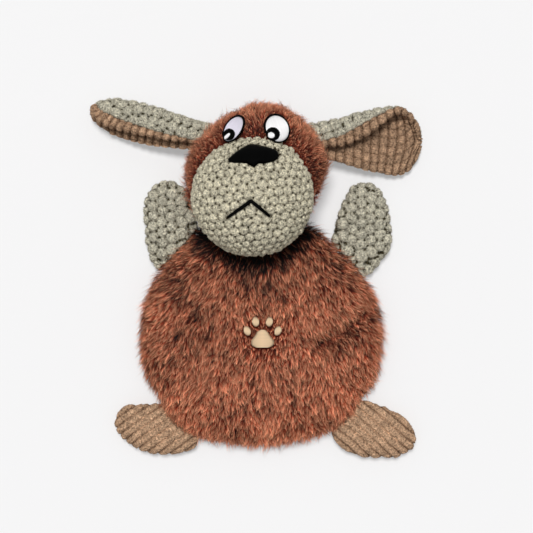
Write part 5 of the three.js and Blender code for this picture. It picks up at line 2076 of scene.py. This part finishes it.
def sew_ear(side, ear, skin, kind, piece_word, solid_word, per_area, seed):
    """Closes one cloth of an ear, clears it of the head and adds its yarn ends."""
    body = f"{side}_ear"
    heading = math.radians(ear["heading"])
    forward = np.array([math.cos(heading), math.sin(heading), 0.0])
    bend = bend_at("head", np.array([*rim_spot(HEAD, ear["seam"])[0], EAR_ROOT_HEIGHT]), forward)
    close_ear_cloth(skin)
    skin["points"] = push_clear(skin["points"], forward, swept_by(HEAD, f"{body}_flop", REST_GAP))
    piece = sewn_cloth(f"{body}_{piece_word}", skin, kind, body, f"{body}_{solid_word}", bend=bend)
    skin["normals"] = vertex_normals(skin["points"], skin["quads"])
    skin["quads"] = skin["outer_quads"]
    make_nap(f"{body}_{kind}_nap", skin, kind, body, per_area, seed, bend)


class DOGTOY_OT_ears(bpy.types.Operator):
    """Makes both folded ears: bobble cloth outside and cord cloth inside"""
    bl_idname = "dog_toy.make_ears"
    bl_label = "Make Ears"

    def execute(self, context):
        sizes, _ = settings()
        for side, ear in EARS.items():
            seed = SEEDS[f"{side}_ear"]
            rng = np.random.default_rng(seed)
            back = ear_cloth(ear, False, cloth_step())
            sites = sites_on(back, sizes.bobble_pitch, EAR_BOBBLE_TURN, rng)
            height = sizes.bobble_height * EAR_HEIGHT_SHARE
            bobbled(back, sites, height, sizes.bobble_pitch, back["calm"], seed + 1)
            sew_ear(side, ear, back, "bobble", "bobbles", "back", EAR_BOBBLE_ENDS, seed + 2)

            lining = ear_cloth(ear, True, cloth_step())
            # The lining's darker shade is painted shadow under the ear's fold
            ribbed(lining, sizes.rib_height, sizes.ear_rib_pitch, EAR_PILLOW, EAR_NIPPED, 0, lining["calm"],
                   seed + 3, darker=ear["darker"])
            sew_ear(side, ear, lining, "cord", "cord", "lining", EAR_CORD_ENDS, seed + 4)
        return {"FINISHED"}


# Limbs: how far in their cloths lie in metres, the legs' grid as a share of the others', how full they
# are, the yarn ends on a square millimetre, the length of a pillow of the legs in metres, how far pillows
# are nipped, the turn of the legs' ribs in degrees, and how far in from the rim the cloth is stretched
ARM_INSET = 0.0020
LEG_INSET = 0.0014
LEG_STEP_SHARE = 0.9
ARM_ENDS = 1.8
LEG_ENDS = 1.6
LEG_PILLOW = 0.0057
LEG_NIPPED = 0.25
LEG_RIB_TURNS = {"left_leg": 35, "right_leg": -40}
LEG_STRETCHED = (0.004, 0.014)

# How flat a limb's cloth is at the seam round its rim, and how far in that reaches in metres
RIM_CALM = 0.35
RIM_CALM_REACH = 0.0014


def limb_calm(name, skin):
    """Cloth is pulled in along the seam round its rim and at its root."""
    seam = RIM_CALM + (1 - RIM_CALM) * smooth_share(skin["to_rim"], 0, RIM_CALM_REACH)
    return np.where(swept_by(BODY, f"{name}_flap", REST_GAP)(skin["points"]), 0.0, seam)


def sew_limb(name, skin, kind, piece_word, per_area, seed):
    """Clears a limb's cloth of the body and adds its yarn ends."""
    form = LIMBS[name]
    outward = np.array([*form.out, 0.0])
    bend = bend_at("torso", np.array([*form.root, LIMB_SEAM]), outward)
    skin["points"] = push_clear(skin["points"], outward, swept_by(BODY, f"{name}_flap", REST_GAP))
    solids = [f"{name}_{part}" for part in ("front", "back", "wadding")]
    piece = sewn_cloth(f"{name}_{piece_word}", skin, kind, name, *solids, bend=bend)
    make_nap(f"{name}_nap", skin, kind, name, per_area, seed, bend)


class DOGTOY_OT_arms(bpy.types.Operator):
    """Makes both arms of bobble cloth"""
    bl_idname = "dog_toy.make_arms"
    bl_label = "Make Arms"

    def execute(self, context):
        sizes, _ = settings()
        for name in ("left_arm", "right_arm"):
            form, seed = LIMBS[name], SEEDS[name]
            rng = np.random.default_rng(seed)
            skin = form_skin(form, ARM_INSET, cloth_step())
            sites = sites_on(skin, sizes.bobble_pitch, math.radians(90) - form.turn, rng)
            calm = limb_calm(name, skin)
            bobbled(skin, sites, sizes.bobble_height, sizes.bobble_pitch, calm, seed + 1)
            sew_limb(name, skin, "bobble", "bobbles", ARM_ENDS, seed + 2)
        return {"FINISHED"}


class DOGTOY_OT_legs(bpy.types.Operator):
    """Makes both legs of cord cloth"""
    bl_idname = "dog_toy.make_legs"
    bl_label = "Make Legs"

    def execute(self, context):
        sizes, _ = settings()
        for name, rib_degrees in LEG_RIB_TURNS.items():
            form, seed = LIMBS[name], SEEDS[name]
            skin = form_skin(form, LEG_INSET, cloth_step(LEG_STEP_SHARE))
            turn = math.radians(rib_degrees) - form.turn
            inner = smooth_share(skin["to_rim"], *LEG_STRETCHED) * skin["upper"]
            calm = limb_calm(name, skin)
            ribbed(skin, sizes.rib_height, sizes.rib_pitch, LEG_PILLOW, LEG_NIPPED, turn, calm, seed, inner)
            sew_limb(name, skin, "cord", "cord", LEG_ENDS, seed + 1)
        return {"FINISHED"}


# How strong and how deep the grain of moulded plastic and metal looks
GRAIN_BUMP = (0.15, 0.0001)


class DOGTOY_OT_squeaker(bpy.types.Operator):
    """Finishes the squeaker inside the body"""
    bl_idname = "dog_toy.finish_squeaker"
    bl_label = "Finish Squeaker"

    def execute(self, context):
        _, colours = settings()
        finishes = {
            "squeaker_base": ("moulded_disc", colours.nylon, 0.0),
            "squeaker_top_disc": ("moulded_disc", colours.nylon, 0.0),
            "squeaker_bellows": ("moulded_bellows", colours.nylon, 0.0),
            "squeaker_whistle": ("moulded_whistle", colours.black_thread, 0.0),
            "squeaker_reed": ("sprung_brass", colours.brass, 1.0),
        }
        for name, (finish, colour, metal) in finishes.items():
            values = {"Base": rgba(colour)}
            material = shared_material(finish, "Moulded Grain", values, {"Metallic": metal}, GRAIN_BUMP)
            piece = frame["nodes"][name]
            piece.data.materials.clear()
            piece.data.materials.append(material)
        return {"FINISHED"}


class DOGTOY_PT_panel(bpy.types.Panel):
    """Buttons that make each part of the dog toy, and its sizes and colours"""
    bl_idname = "DOGTOY_PT_panel"
    bl_label = "Dog Toy"
    bl_space_type = "VIEW_3D"
    bl_region_type = "UI"
    bl_category = "Dog Toy"

    def draw(self, context):
        layout = self.layout
        for maker in MAKERS:
            layout.operator(maker.bl_idname)
        for group in (context.scene.dog_toy_sizes, context.scene.dog_toy_colours):
            box = layout.box()
            for key in group.__annotations__:
                box.prop(group, key)


MAKERS = (
    DOGTOY_OT_stage,
    DOGTOY_OT_body,
    DOGTOY_OT_head,
    DOGTOY_OT_muzzle,
    DOGTOY_OT_face,
    DOGTOY_OT_belly,
    DOGTOY_OT_ears,
    DOGTOY_OT_arms,
    DOGTOY_OT_legs,
    DOGTOY_OT_squeaker,
)
CLASSES = (ToySizes, ToyColours, *MAKERS, DOGTOY_PT_panel)


def register():
    for kind in CLASSES:
        bpy.utils.register_class(kind)
    bpy.types.Scene.dog_toy_sizes = bpy.props.PointerProperty(type=ToySizes)
    bpy.types.Scene.dog_toy_colours = bpy.props.PointerProperty(type=ToyColours)


def unregister():
    del bpy.types.Scene.dog_toy_colours
    del bpy.types.Scene.dog_toy_sizes
    for kind in reversed(CLASSES):
        bpy.utils.unregister_class(kind)


def main():
    register()
    bpy.ops.dog_toy.make_stage()
    bpy.ops.dog_toy.make_body()
    bpy.ops.dog_toy.make_head()
    bpy.ops.dog_toy.make_muzzle()
    bpy.ops.dog_toy.make_face()
    bpy.ops.dog_toy.make_belly_stitching()
    bpy.ops.dog_toy.make_ears()
    bpy.ops.dog_toy.make_arms()
    bpy.ops.dog_toy.make_legs()
    bpy.ops.dog_toy.finish_squeaker()


if __name__ == "__main__":
    main()
